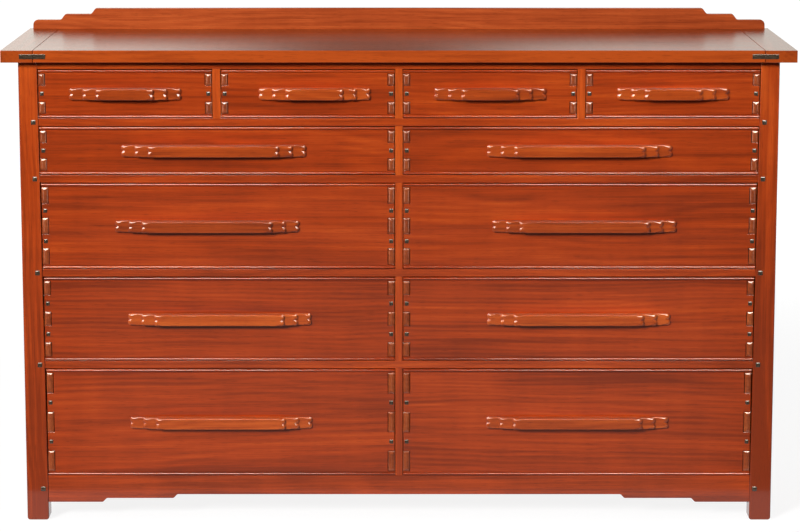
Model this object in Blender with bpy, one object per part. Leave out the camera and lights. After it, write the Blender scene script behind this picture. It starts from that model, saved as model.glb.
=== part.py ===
"""A long chest of twelve drawers in reddish hardwood with black pegs and splines.

Lengths are in metres and +Z is up. The front faces -Y, and +X is to the right of someone who faces
the front. The origin is the middle of the base, in the plane of the feet.
"""

import math
from dataclasses import dataclass

import bmesh
import bpy

# Clearances
FIT_GAP = 0.0003
CUT_OVERRUN = 0.005
DRAWER_REVEAL = 0.001
GUIDE_CLEARANCE = 0.0005

# Corner posts
CASE_WIDTH = 1.757
CASE_DEPTH = 0.500
POST_TOP_WIDTH = 0.0435
POST_FOOT_WIDTH = 0.051
POST_DEPTH = 0.050
FOOT_BEVEL = 0.004

# Front rails, stiles and the drawer rows between them
GROUND_CLEARANCE = 0.043
FIRST_ROW_HEIGHT = 0.112
SECOND_ROW_HEIGHT = 0.1115
THIRD_ROW_HEIGHT = 0.2006
FOURTH_ROW_HEIGHT = 0.198
FIFTH_ROW_HEIGHT = 0.2555
RAIL_HEIGHT = 0.019
TOP_RAIL_HEIGHT = 0.018
RAIL_DEPTH = 0.055
RAIL_SETBACK = 0.003
CENTRE_STILE_WIDTH = 0.0175
SHORT_STILE_WIDTH = 0.019

# Apron, whose lower edge rises in two lifts towards the middle
APRON_THICKNESS = 0.022
APRON_END_HEIGHT = 0.0645
APRON_LIFT = 0.0093
APRON_LIFT_RUN = 0.013
APRON_END_LENGTH = 0.126
APRON_STEP_LENGTH = 0.154

# Top with its end boards and the black splines across their seams
TOP_THICKNESS = 0.028
TOP_SIDE_OVERHANG = 0.036
TOP_FRONT_OVERHANG = 0.026
TOP_BACK_OVERHANG = 0.007
END_BOARD_WIDTH = 0.073
END_BOARD_PROUD = 0.0025
SPLINE_LENGTH = 0.060
SPLINE_HEIGHT = 0.011
SPLINE_INSET = 0.012
SPLINE_PROUD = 0.0015

# Backsplash, which stands in a groove and whose upper edge rises in two lifts towards the middle
SPLASH_THICKNESS = 0.019
SPLASH_GROOVE_DEPTH = 0.006
SPLASH_BACK_INSET = 0.006
SPLASH_SIDE_INSET = 0.0105
SPLASH_END_HEIGHT = 0.023
SPLASH_END_ROUND = 0.012
SPLASH_LIFT = 0.0143
SPLASH_LIFT_RUN = 0.016
SPLASH_END_LENGTH = 0.066
SPLASH_STEP_LENGTH = 0.059

# Side frames
SIDE_SETBACK = 0.003
SIDE_RAIL_THICKNESS = 0.022
SIDE_TOP_RAIL_HEIGHT = 0.075
SIDE_BOTTOM_RAIL_HEIGHT = 0.095
SIDE_LIFT = 0.0093
SIDE_LIFT_RUN = 0.013
SIDE_END_LENGTH = 0.080
SIDE_PANEL_THICKNESS = 0.009
PANEL_TONGUE = 0.008

# Back frame
BACK_SETBACK = 0.003
BACK_FRAME_THICKNESS = 0.019
BACK_RAIL_HEIGHT = 0.070
BACK_STILE_WIDTH = 0.060
BACK_PANEL_THICKNESS = 0.006

# Frames that the drawers run on, each with dust panels between its rails and runners
RUNNER_BEARING = 0.020
FRAME_BACK_RAIL_DEPTH = 0.050
DUST_PANEL_THICKNESS = 0.006
GUIDE_HEIGHT = 0.022
GUIDE_SETBACK = 0.001
JOINT_OVERLAP = 0.004

# Pegs in the posts and in the drawer fronts
POST_PEG_SIZE = 0.011
POST_PEG_EDGE = 0.0115
DRAWER_PEG_SIZE = 0.0095
PEG_INSET = 0.006
PEG_SHOULDER = 0.0006
PEG_PROUD = 0.0018
PEG_CROWN_INSET = 0.0022

# Drawer fronts and boxes
FRONT_THICKNESS = 0.019
BEAD_HEIGHT = 0.005
BEAD_PROUD = 0.003
QUIRK_WIDTH = 0.0015
QUIRK_DEPTH = 0.001
BOX_SIDE_THICKNESS = 0.0155
BOX_BACK_THICKNESS = 0.012
BOX_BACK_INSET = 0.012
BOX_BACK_DROP = 0.006
BOX_SIDE_DROP = 0.002
BOX_BOTTOM_THICKNESS = 0.006
BOX_BOTTOM_RAISE = 0.010
BOX_GROOVE_DEPTH = 0.006

# Fingers of the drawer sides that come through the fronts, from the lowest row up
FINGER_COUNTS = (3, 3, 3, 2, 2)
FINGER_HEIGHTS = (0.0485, 0.033, 0.038, 0.0275, 0.0275)
FINGER_MARGIN = 0.0095
FINGER_PROUD = 0.003
FINGER_ROUND = 0.003

# Pulls, each of three tiers with forked ends and a finger cove behind
WIDE_PULL_LENGTH = 0.428
SMALL_PULL_LENGTH = 0.258
PULL_HEIGHT = 0.028
PULL_TIER_DEPTHS = (0.008, 0.0075, 0.0075)
PULL_TIER_STEP = 0.031
PULL_TIER_EASE = 0.0006
PULL_FORK_DEPTH = 0.010
COVE_DEPTH = 0.012
COVE_HEIGHT = 0.011
COVE_END = 0.012

# Pulls that sit off the middle of their drawers, to the right if above zero
PULL_SHIFTS = {
    "drawer_1b": 0.015,
    "drawer_2_left": -0.0085,
    "drawer_2_right": -0.003,
    "drawer_3_left": -0.026,
    "drawer_3_right": 0.0105,
}

# Roundness of curved outlines, in straight parts
LIFT_STEPS = 3
ROUND_STEPS = 3
BEAD_STEPS = 4
FORK_STEPS = 4
COVE_STEPS = 4
SMOOTH_ANGLE = math.radians(35)

# Colours, as linear red, green and blue
CASE_RED = (0.46, 0.085, 0.018)
FRONT_RED = (0.37, 0.066, 0.018)
PULL_RED = (0.42, 0.085, 0.022)
BOX_BROWN = (0.30, 0.085, 0.035)
INNER_BROWN = (0.36, 0.16, 0.070)
BLACK = (0.010, 0.009, 0.009)
SATIN = 0.32
GLOSSY = 0.18
PLAIN = 0.55
WOOD_SLOT = 0
PEG_SLOT = 1
SIDES = ((-1, "left"), (1, "right"))

# Heights of the drawer fronts, from the lowest row up
ROW_HEIGHTS = (
    FIFTH_ROW_HEIGHT,
    FOURTH_ROW_HEIGHT,
    THIRD_ROW_HEIGHT,
    SECOND_ROW_HEIGHT,
    FIRST_ROW_HEIGHT,
)

# Places worked out from the sizes above
HALF_CASE = CASE_WIDTH / 2
PULL_DEPTH = sum(PULL_TIER_DEPTHS)
FRONT_REACH = max(
    TOP_FRONT_OVERHANG + END_BOARD_PROUD + SPLINE_PROUD,
    FIT_GAP + PULL_DEPTH - RAIL_SETBACK,
)
POST_FRONT = (FRONT_REACH - CASE_DEPTH - TOP_BACK_OVERHANG) / 2
POST_BACK = POST_FRONT + POST_DEPTH
CASE_BACK = POST_FRONT + CASE_DEPTH
BACK_POST_FRONT = CASE_BACK - POST_DEPTH
RAIL_FRONT = POST_FRONT + RAIL_SETBACK
RAIL_BACK = RAIL_FRONT + RAIL_DEPTH
FACE_PLANE = RAIL_FRONT
BACK_FRAME_BACK = CASE_BACK - BACK_SETBACK
BACK_FRAME_FRONT = BACK_FRAME_BACK - BACK_FRAME_THICKNESS
INSIDE_BACK = BACK_FRAME_FRONT - FIT_GAP
BOX_LENGTH = INSIDE_BACK - FACE_PLANE
APRON_TOP = GROUND_CLEARANCE + APRON_END_HEIGHT
TOP_ROW = len(ROW_HEIGHTS) - 1
ROW_SPACING = 2 * DRAWER_REVEAL + RAIL_HEIGHT
TOP_RAIL_BOTTOM = APRON_TOP + sum(ROW_HEIGHTS) + TOP_ROW * ROW_SPACING + 2 * DRAWER_REVEAL
POST_HEIGHT = TOP_RAIL_BOTTOM + TOP_RAIL_HEIGHT
BACK_POST_WIDTH = POST_TOP_WIDTH
TOP_BOTTOM = POST_HEIGHT + FIT_GAP
TOP_SURFACE = TOP_BOTTOM + TOP_THICKNESS
TOP_FRONT = POST_FRONT - TOP_FRONT_OVERHANG
TOP_BACK = CASE_BACK + TOP_BACK_OVERHANG
HALF_TOP = HALF_CASE + TOP_SIDE_OVERHANG
SEAM = HALF_TOP - END_BOARD_WIDTH
SPLASH_BACK = TOP_BACK - SPLASH_BACK_INSET
SPLASH_FRONT = SPLASH_BACK - SPLASH_THICKNESS
HALF_SPLASH = HALF_TOP - SPLASH_SIDE_INSET
SIDE_RAIL_OUTER = HALF_CASE - SIDE_SETBACK
SIDE_RAIL_INNER = SIDE_RAIL_OUTER - SIDE_RAIL_THICKNESS
RUNNER_OUTER = SIDE_RAIL_INNER - FIT_GAP


def post_width_at(height):
    """Width of a front post, which tapers on its inner side."""
    return POST_FOOT_WIDTH + (POST_TOP_WIDTH - POST_FOOT_WIDTH) * height / POST_HEIGHT


def opening_floor(row):
    """Height of the rail or apron top that a row of drawers stands on."""
    return APRON_TOP + sum(ROW_HEIGHTS[:row]) + row * ROW_SPACING


def opening_edge(row):
    """How far from the middle plane the outer side of a row's opening lies."""
    return HALF_CASE - post_width_at(opening_floor(row))


def bay_middle():
    """Middle of the right bay in the top row, where the short stile stands."""
    return (CENTRE_STILE_WIDTH / 2 + opening_edge(TOP_ROW)) / 2


@dataclass
class Drawer:
    """One drawer, with its left and right ends, and the row it is in."""

    name: str
    row: int
    left: float
    right: float
    pull_length: float

    @property
    def half_width(self):
        return (self.right - self.left) / 2

    @property
    def middle(self):
        return (self.left + self.right) / 2

    @property
    def height(self):
        return ROW_HEIGHTS[self.row]

    def fingers(self):
        """Lower and upper edge of each finger above the front's lower edge."""
        count = FINGER_COUNTS[self.row]
        tall = FINGER_HEIGHTS[self.row]
        pitch = (self.height - 2 * FINGER_MARGIN - tall) / (count - 1)
        starts = [FINGER_MARGIN + pitch * number for number in range(count)]
        return [(start, start + tall) for start in starts]

    def peg_places(self):
        """Middle of each peg, as its end of the front and its height."""
        fingers = self.fingers()
        heights = [(below[1] + above[0]) / 2 for below, above in zip(fingers, fingers[1:])]
        across = self.half_width - BOX_SIDE_THICKNESS / 2
        return [(side * across, height) for side in (-1, 1) for height in heights]


def drawers():
    """All drawers, in rows that are numbered from the top."""
    found = []
    for row in range(TOP_ROW):
        inner = CENTRE_STILE_WIDTH / 2 + DRAWER_REVEAL
        outer = opening_edge(row) - DRAWER_REVEAL
        number = TOP_ROW + 1 - row
        found.append(Drawer(f"drawer_{number}_left", row, -outer, -inner, WIDE_PULL_LENGTH))
        found.append(Drawer(f"drawer_{number}_right", row, inner, outer, WIDE_PULL_LENGTH))
    edge = opening_edge(TOP_ROW)
    half_stiles = CENTRE_STILE_WIDTH / 2, SHORT_STILE_WIDTH / 2
    walls = [-edge, -bay_middle(), 0, bay_middle(), edge]
    halves = [0, half_stiles[1], half_stiles[0], half_stiles[1], 0]
    for number, letter in enumerate("abcd"):
        left = walls[number] + halves[number] + DRAWER_REVEAL
        right = walls[number + 1] - halves[number + 1] - DRAWER_REVEAL
        found.append(Drawer(f"drawer_1{letter}", TOP_ROW, left, right, SMALL_PULL_LENGTH))
    return found


# Shapes: each function adds closed bodies to a bmesh


def around(middle, size):
    """The span of a size about its middle."""
    return middle - size / 2, middle + size / 2


def grown(span, by=FIT_GAP):
    """A span made longer at both ends."""
    return span[0] - by, span[1] + by


def loft(shape, rings):
    """A closed body through rings of as many points each, with a flat face at each end."""
    made = [[shape.verts.new(point) for point in ring] for ring in rings]
    shape.faces.new(list(reversed(made[0])))
    shape.faces.new(made[-1])
    for lower, upper in zip(made, made[1:]):
        for place in range(len(lower)):
            following = (place + 1) % len(lower)
            shape.faces.new((lower[place], lower[following], upper[following], upper[place]))


def prism(shape, outline, axis, span):
    """An outline carried along X, Y or Z, drawn in the two other axes in their order."""
    rings = []
    for along in span:
        ring = []
        for first, second in outline:
            point = [first, second]
            point.insert("xyz".index(axis), along)
            ring.append(point)
        rings.append(ring)
    loft(shape, rings)


def box(shape, x_span, y_span, z_span):
    """A box between six planes."""
    left, right = x_span
    front, back = y_span
    prism(shape, [(left, front), (right, front), (right, back), (left, back)], "z", z_span)


def quarter_arc(corner, first, second, steps=ROUND_STEPS):
    """Points of a quarter ellipse that rounds a corner, from one leg's end to the other's.

    The legs run from the sharp corner: the arc starts at the end of the first and ends at the
    end of the second.
    """
    points = []
    for step in range(steps + 1):
        turn = math.pi / 2 * step / steps
        share_first = 1 - math.sin(turn)
        share_second = 1 - math.cos(turn)
        points.append(
            (
                corner[0] + first[0] * share_first + second[0] * share_second,
                corner[1] + first[1] * share_first + second[1] * share_second,
            )
        )
    return points


def lift(start, end):
    """Points of a smooth S between two levels of an edge."""
    points = []
    for step in range(LIFT_STEPS + 1):
        share = step / LIFT_STEPS
        rise = (1 - math.cos(math.pi * share)) / 2
        points.append((start[0] + (end[0] - start[0]) * share, start[1] + (end[1] - start[1]) * rise))
    return points


def lifted_edge(half_length, level, rise, run, lengths):
    """An edge along the first axis, which rises by one lift after each of the lengths from both ends."""
    half = []
    along = -half_length
    for length in lengths:
        along += length
        half += lift((along, level), (along + run, level + rise))
        along += run
        level += rise
    return half + [(-first, second) for first, second in reversed(half)]


def peg(shape, middle, outward, size):
    """A square peg with a crowned head. It stands in a face at its middle point, along X or Y."""
    first_face = len(shape.faces)
    axis = 0 if outward[0] else 1
    across = 1 - axis
    rings = []
    for reach, half in (
        (-PEG_INSET, size / 2),
        (PEG_SHOULDER, size / 2),
        (PEG_PROUD, size / 2 - PEG_CROWN_INSET),
    ):
        ring = []
        for side, up in ((-1, -1), (1, -1), (1, 1), (-1, 1)):
            point = list(middle)
            point[axis] += outward[axis] * reach
            point[across] += side * half
            point[2] += up * half
            ring.append(point)
        rings.append(ring)
    loft(shape, rings)
    shape.faces.ensure_lookup_table()
    for face in shape.faces[first_face:]:
        face.material_index = PEG_SLOT


def new_object(name, shape):
    """An object made from a bmesh, with faces that point out and room for two materials."""
    bmesh.ops.recalc_face_normals(shape, faces=shape.faces)
    mesh = bpy.data.meshes.new(name)
    for _ in (WOOD_SLOT, PEG_SLOT):
        mesh.materials.append(None)
    shape.to_mesh(mesh)
    shape.free()
    made = bpy.data.objects.new(name, mesh)
    bpy.context.scene.collection.objects.link(made)
    return made


def combined(shape, other, operation):
    """Two shapes joined by a Boolean union, or the first with the second cut away as a difference."""
    body = new_object("body", shape)
    tool = new_object("tool", other)
    boolean = body.modifiers.new("boolean", "BOOLEAN")
    boolean.operation = operation
    boolean.solver = "EXACT"
    boolean.object = tool
    graph = bpy.context.evaluated_depsgraph_get()
    evaluated = bpy.data.meshes.new_from_object(body.evaluated_get(graph))
    result = bmesh.new()
    result.from_mesh(evaluated)
    bpy.data.meshes.remove(evaluated)
    for helper in (body, tool):
        mesh = helper.data
        bpy.data.objects.remove(helper)
        bpy.data.meshes.remove(mesh)
    return result


def paint(name, colour, roughness):
    """A material of one colour for one object."""
    material = bpy.data.materials.new(name)
    material.use_nodes = True
    shader = material.node_tree.nodes["Principled BSDF"]
    shader.inputs["Base Color"].default_value = (*colour, 1)
    shader.inputs["Roughness"].default_value = roughness
    shader.inputs["Metallic"].default_value = 0
    return material


def add_node(name, shape, colour, roughness, parent=None, pegged=False):
    """One named part of the chest, whose pegs are black."""
    made = new_object(name, shape)
    made.data.materials[WOOD_SLOT] = paint(name, colour, roughness)
    if pegged:
        made.data.materials[PEG_SLOT] = paint(f"{name}_pegs", BLACK, GLOSSY)
    else:
        made.data.materials.pop(index=PEG_SLOT)
    made.data.shade_smooth()
    made.data.set_sharp_from_angle(angle=SMOOTH_ANGLE)
    made.parent = parent
    return made


# The case


def post_outline(side, top_width, foot_width):
    """A post seen from the front, with its foot bevelled and its inner side tapered or straight."""
    outer = HALF_CASE
    foot = HALF_CASE - foot_width
    points = [
        (foot + FOOT_BEVEL, 0),
        (outer - FOOT_BEVEL, 0),
        (outer, FOOT_BEVEL),
        (outer, POST_HEIGHT),
        (HALF_CASE - top_width, POST_HEIGHT),
        (foot, FOOT_BEVEL),
    ]
    return [(side * across, height) for across, height in points]


def front_peg_places(side):
    """Pegs in the front of a front post, one for each rail that it holds."""
    heights = [GROUND_CLEARANCE + APRON_END_HEIGHT / 2]
    heights += [opening_floor(row) - RAIL_HEIGHT / 2 for row in range(1, TOP_ROW + 1)]
    places = []
    for height in heights:
        across = side * (HALF_CASE - post_width_at(height) + POST_PEG_EDGE)
        places.append(((across, POST_FRONT, height), (0, -1)))
    return places


def side_peg_places(side, along):
    """Pegs in the outer side of a post, one for each side rail that it holds."""
    heights = (GROUND_CLEARANCE + SIDE_BOTTOM_RAIL_HEIGHT / 2, POST_HEIGHT - SIDE_TOP_RAIL_HEIGHT / 2)
    return [((side * HALF_CASE, along, height), (side, 0)) for height in heights]


def side_panel_spans(side):
    """The panel of a side, with its tongues in the posts and rails."""
    middle = side * (SIDE_RAIL_OUTER + SIDE_RAIL_INNER) / 2
    low = GROUND_CLEARANCE + SIDE_BOTTOM_RAIL_HEIGHT
    high = POST_HEIGHT - SIDE_TOP_RAIL_HEIGHT
    return (
        around(middle, SIDE_PANEL_THICKNESS),
        grown((POST_BACK, BACK_POST_FRONT), PANEL_TONGUE),
        grown((low, high), PANEL_TONGUE),
    )


def add_post(name, outline, depth, pegs, side):
    """One corner post with the heads of its pegs and the groove of the side panel."""
    post = bmesh.new()
    prism(post, outline, "y", depth)
    heads = bmesh.new()
    for middle, outward in pegs:
        peg(heads, middle, outward, POST_PEG_SIZE)
    post = combined(post, heads, "UNION")
    groove = bmesh.new()
    box(groove, *[grown(span) for span in side_panel_spans(side)])
    add_node(name, combined(post, groove, "DIFFERENCE"), CASE_RED, SATIN, pegged=True)


def add_corner_posts():
    for side, word in SIDES:
        outline = post_outline(side, POST_TOP_WIDTH, POST_FOOT_WIDTH)
        pegs = front_peg_places(side) + side_peg_places(side, POST_BACK - POST_PEG_EDGE)
        add_post(f"post_front_{word}", outline, (POST_FRONT, POST_BACK), pegs, side)
        outline = post_outline(side, BACK_POST_WIDTH, BACK_POST_WIDTH)
        pegs = side_peg_places(side, BACK_POST_FRONT + POST_PEG_EDGE)
        add_post(f"post_back_{word}", outline, (BACK_POST_FRONT, CASE_BACK), pegs, side)


def add_apron():
    half = HALF_CASE - post_width_at(GROUND_CLEARANCE) - FIT_GAP
    lengths = (APRON_END_LENGTH, APRON_STEP_LENGTH)
    edge = lifted_edge(half, GROUND_CLEARANCE, APRON_LIFT, APRON_LIFT_RUN, lengths)
    low_ends = [(half, GROUND_CLEARANCE), (half, APRON_TOP), (-half, APRON_TOP), (-half, GROUND_CLEARANCE)]
    outline = edge + low_ends
    apron = bmesh.new()
    prism(apron, outline, "y", (RAIL_FRONT, RAIL_FRONT + APRON_THICKNESS))
    add_node("apron", apron, CASE_RED, SATIN)


def add_sides():
    """The two sides, each a lower rail, an upper rail and the panel glued between them."""
    along = grown((POST_BACK, BACK_POST_FRONT), -FIT_GAP)
    half = (along[1] - along[0]) / 2
    low = GROUND_CLEARANCE
    high = low + SIDE_BOTTOM_RAIL_HEIGHT
    edge = lifted_edge(half, low, SIDE_LIFT, SIDE_LIFT_RUN, (SIDE_END_LENGTH,))
    outline = [(-half, low), *edge, (half, low), (half, high), (-half, high)]
    outline = [(sum(along) / 2 + first, second) for first, second in outline]
    for side, word in SIDES:
        across = sorted((side * SIDE_RAIL_INNER, side * SIDE_RAIL_OUTER))
        rails = bmesh.new()
        prism(rails, outline, "x", across)
        box(rails, across, along, (POST_HEIGHT - SIDE_TOP_RAIL_HEIGHT, POST_HEIGHT))
        panel = bmesh.new()
        box(panel, *side_panel_spans(side))
        add_node(f"side_{word}", combined(rails, panel, "UNION"), CASE_RED, SATIN)


def back_panel_spans():
    """The back panel, with its tongues in the frame round it."""
    across = HALF_CASE - BACK_POST_WIDTH - FIT_GAP - BACK_STILE_WIDTH
    low = GROUND_CLEARANCE + 2 * APRON_LIFT + BACK_RAIL_HEIGHT
    return (
        grown((-across, across), PANEL_TONGUE),
        around((BACK_FRAME_FRONT + BACK_FRAME_BACK) / 2, BACK_PANEL_THICKNESS),
        grown((low, POST_HEIGHT - BACK_RAIL_HEIGHT), PANEL_TONGUE),
    )


def add_back():
    """The back frame between the back posts, and the panel that floats in its groove."""
    frame = bmesh.new()
    across, thickness, height = back_panel_spans()
    opening = (grown(across, -PANEL_TONGUE), grown(height, -PANEL_TONGUE))
    outer = (grown(opening[0], BACK_STILE_WIDTH), grown(opening[1], BACK_RAIL_HEIGHT))
    depth = (BACK_FRAME_FRONT, BACK_FRAME_BACK)
    box(frame, outer[0], depth, outer[1])
    window = bmesh.new()
    box(window, opening[0], grown(depth, CUT_OVERRUN), opening[1])
    groove = bmesh.new()
    box(groove, grown(across), grown(thickness), grown(height))
    frame = combined(combined(frame, window, "DIFFERENCE"), groove, "DIFFERENCE")
    add_node("back_frame", frame, CASE_RED, PLAIN)
    panel = bmesh.new()
    box(panel, across, thickness, height)
    add_node("back_panel", panel, INNER_BROWN, PLAIN)


def frame_outline(front, front_half):
    """A drawer frame seen from above. It fits between the posts and widens between them to the sides."""
    back_half = HALF_CASE - BACK_POST_WIDTH - FIT_GAP
    half = [
        (front_half, front),
        (front_half, POST_BACK + FIT_GAP),
        (RUNNER_OUTER, POST_BACK + FIT_GAP),
        (RUNNER_OUTER, BACK_POST_FRONT - FIT_GAP),
        (back_half, BACK_POST_FRONT - FIT_GAP),
        (back_half, INSIDE_BACK),
    ]
    return half + [(-across, along) for across, along in reversed(half)]


def dust_panel_spans(row):
    """Where the dust panels of the right half of a frame lie, from side to side."""
    inner = CENTRE_STILE_WIDTH / 2 + DRAWER_REVEAL + RUNNER_BEARING
    outer = opening_edge(row) - DRAWER_REVEAL - RUNNER_BEARING
    if row < TOP_ROW:
        return [(inner, outer)]
    runner = around(bay_middle(), SHORT_STILE_WIDTH + 2 * (DRAWER_REVEAL + RUNNER_BEARING))
    return [(inner, runner[0]), (runner[1], outer)]


def frame_recesses(row, height):
    """Cutter for the recesses above and below the dust panels, and for the slot of the partition."""
    recesses = bmesh.new()
    depth = (RAIL_BACK, INSIDE_BACK - FRAME_BACK_RAIL_DEPTH)
    panel = around(sum(height) / 2, DUST_PANEL_THICKNESS)
    for left, right in dust_panel_spans(row):
        for across in ((left, right), (-right, -left)):
            box(recesses, across, depth, (height[0] - CUT_OVERRUN, panel[0]))
            box(recesses, across, depth, (panel[1], height[1] + CUT_OVERRUN))
    slot = grown(around(0, CENTRE_STILE_WIDTH))
    box(recesses, slot, (RAIL_BACK, INSIDE_BACK + CUT_OVERRUN), grown(height, CUT_OVERRUN))
    return recesses


def frame_guides(row, floor):
    """Strips that keep the drawers of a row straight, glued on the outer runners."""
    guides = bmesh.new()
    inner = opening_edge(row) - DRAWER_REVEAL + GUIDE_CLEARANCE
    across = (inner, RUNNER_OUTER - GUIDE_SETBACK)
    along = grown((POST_BACK + FIT_GAP, BACK_POST_FRONT - FIT_GAP), -GUIDE_SETBACK)
    height = (floor - JOINT_OVERLAP, floor + GUIDE_HEIGHT)
    box(guides, across, along, height)
    box(guides, (-across[1], -across[0]), along, height)
    return guides


def drawer_frame(row, height, front):
    """A frame across the case: rails in front and at the back, runners and dust panels."""
    frame = bmesh.new()
    front_half = HALF_CASE - post_width_at(height[0]) - FIT_GAP
    prism(frame, frame_outline(front, front_half), "z", height)
    return combined(frame, frame_recesses(row, height), "DIFFERENCE")


def add_drawer_frames():
    """One frame below each row, whose front edge is the rail, and the top frame above the first row."""
    for row in range(TOP_ROW + 1):
        floor = opening_floor(row)
        front = RAIL_FRONT if row else RAIL_FRONT + APRON_THICKNESS + FIT_GAP
        frame = drawer_frame(row, (floor - RAIL_HEIGHT, floor), front)
        frame = combined(frame, frame_guides(row, floor), "UNION")
        add_node(f"drawer_frame_{TOP_ROW + 1 - row}", frame, CASE_RED, SATIN)
    top_frame = drawer_frame(TOP_ROW, (TOP_RAIL_BOTTOM, POST_HEIGHT), RAIL_FRONT)
    add_node("top_frame", top_frame, CASE_RED, SATIN)


def add_centre_partition():
    """A board from front to back, slotted past the frames. Its front teeth are the centre stiles."""
    spine = RAIL_BACK + FIT_GAP
    outline = [(INSIDE_BACK, APRON_TOP - RAIL_HEIGHT), (spine, APRON_TOP - RAIL_HEIGHT)]
    for row, height in enumerate(ROW_HEIGHTS):
        floor = opening_floor(row) + FIT_GAP
        ceiling = opening_floor(row) + height + 2 * DRAWER_REVEAL - FIT_GAP
        outline += [(spine, floor), (RAIL_FRONT, floor), (RAIL_FRONT, ceiling), (spine, ceiling)]
    outline += [(spine, POST_HEIGHT), (INSIDE_BACK, POST_HEIGHT)]
    partition = bmesh.new()
    prism(partition, outline, "x", around(0, CENTRE_STILE_WIDTH))
    add_node("centre_partition", partition, CASE_RED, SATIN)


def add_short_stiles():
    """Stiles that part the small drawers, each with a guide strip behind it."""
    floor = opening_floor(TOP_ROW) + FIT_GAP
    ceiling = TOP_RAIL_BOTTOM - FIT_GAP
    outline = [
        (RAIL_FRONT, floor),
        (INSIDE_BACK, floor),
        (INSIDE_BACK, floor + GUIDE_HEIGHT),
        (RAIL_BACK, floor + GUIDE_HEIGHT),
        (RAIL_BACK, ceiling),
        (RAIL_FRONT, ceiling),
    ]
    for side, word in SIDES:
        stile = bmesh.new()
        prism(stile, outline, "x", around(side * bay_middle(), SHORT_STILE_WIDTH))
        add_node(f"short_stile_{word}", stile, CASE_RED, SATIN)


def top_recesses():
    """Cutter for the spline slots across the seams of the top, and for the backsplash's groove."""
    recesses = bmesh.new()
    height = grown(around((TOP_BOTTOM + TOP_SURFACE) / 2, SPLINE_HEIGHT))
    depth = (TOP_FRONT - END_BOARD_PROUD - CUT_OVERRUN, TOP_FRONT + SPLINE_INSET + FIT_GAP)
    for side, _ in SIDES:
        box(recesses, grown(around(side * SEAM, SPLINE_LENGTH)), depth, height)
    across = grown((-HALF_SPLASH, HALF_SPLASH))
    groove = (TOP_SURFACE - SPLASH_GROOVE_DEPTH, TOP_SURFACE + CUT_OVERRUN)
    box(recesses, across, grown((SPLASH_FRONT, SPLASH_BACK)), groove)
    return recesses


def add_top():
    """The top panel and the end board across each end of it."""
    thickness = (TOP_BOTTOM, TOP_SURFACE)
    panel = bmesh.new()
    half = SEAM - FIT_GAP
    box(panel, (-half, half), (TOP_FRONT, TOP_BACK), thickness)
    panel = combined(panel, top_recesses(), "DIFFERENCE")
    add_node("top_panel", panel, CASE_RED, GLOSSY)
    for side, word in SIDES:
        board = bmesh.new()
        across = sorted((side * SEAM, side * HALF_TOP))
        box(board, across, (TOP_FRONT - END_BOARD_PROUD, TOP_BACK), thickness)
        board = combined(board, top_recesses(), "DIFFERENCE")
        add_node(f"breadboard_{word}", board, CASE_RED, GLOSSY)


def add_top_splines():
    """Black splines that bridge the seams. Each steps forward where the end board does."""
    height = around((TOP_BOTTOM + TOP_SURFACE) / 2, SPLINE_HEIGHT)
    inner = SEAM - SPLINE_LENGTH / 2
    outer = SEAM + SPLINE_LENGTH / 2
    back = TOP_FRONT + SPLINE_INSET
    front = TOP_FRONT - SPLINE_PROUD
    outline = [
        (inner, back),
        (inner, front),
        (SEAM, front),
        (SEAM, front - END_BOARD_PROUD),
        (outer, front - END_BOARD_PROUD),
        (outer, back),
    ]
    for side, word in SIDES:
        spline = bmesh.new()
        prism(spline, [(side * across, along) for across, along in outline], "z", height)
        add_node(f"spline_{word}", spline, BLACK, GLOSSY)


def add_backsplash():
    half = HALF_SPLASH
    base = TOP_SURFACE - SPLASH_GROOVE_DEPTH + FIT_GAP
    level = TOP_SURFACE + SPLASH_END_HEIGHT
    corner = quarter_arc((-half, level), (0, -SPLASH_END_ROUND), (SPLASH_END_ROUND, 0))
    lengths = (SPLASH_END_LENGTH, SPLASH_STEP_LENGTH)
    edge = lifted_edge(half, level, SPLASH_LIFT, SPLASH_LIFT_RUN, lengths)
    far_corner = [(-across, height) for across, height in reversed(corner)]
    outline = [(half, base), (-half, base), *corner, *edge, *far_corner]
    splash = bmesh.new()
    prism(splash, outline, "y", (SPLASH_FRONT, SPLASH_BACK))
    add_node("backsplash", splash, CASE_RED, SATIN)


# The drawers, each drawn about the middle of its front's lower edge, with Y = 0 in its face


def front_profile(height):
    """Cross-section of a drawer front, with a bead and a quirk along both edges."""
    bead = []
    for step in range(BEAD_STEPS + 1):
        turn = math.pi * step / BEAD_STEPS
        bead.append((-BEAD_PROUD * math.sin(turn), BEAD_HEIGHT * (1 - math.cos(turn)) / 2))
    quirk = [(QUIRK_DEPTH, BEAD_HEIGHT + QUIRK_WIDTH / 2), (0, BEAD_HEIGHT + QUIRK_WIDTH)]
    lower = bead + quirk
    upper = [(along, height - up) for along, up in reversed(lower)]
    return [(FRONT_THICKNESS, 0), *lower, *upper, (FRONT_THICKNESS, height)]


def bottom_panel_spans(drawer):
    """The box of a drawer's bottom panel, with its tongues in the sides and the front."""
    half = drawer.half_width - BOX_SIDE_THICKNESS + BOX_GROOVE_DEPTH
    depth = (FRONT_THICKNESS - BOX_GROOVE_DEPTH, BOX_LENGTH - BOX_BACK_INSET)
    return (-half, half), depth, (BOX_BOTTOM_RAISE, BOX_BOTTOM_RAISE + BOX_BOTTOM_THICKNESS)


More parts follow.
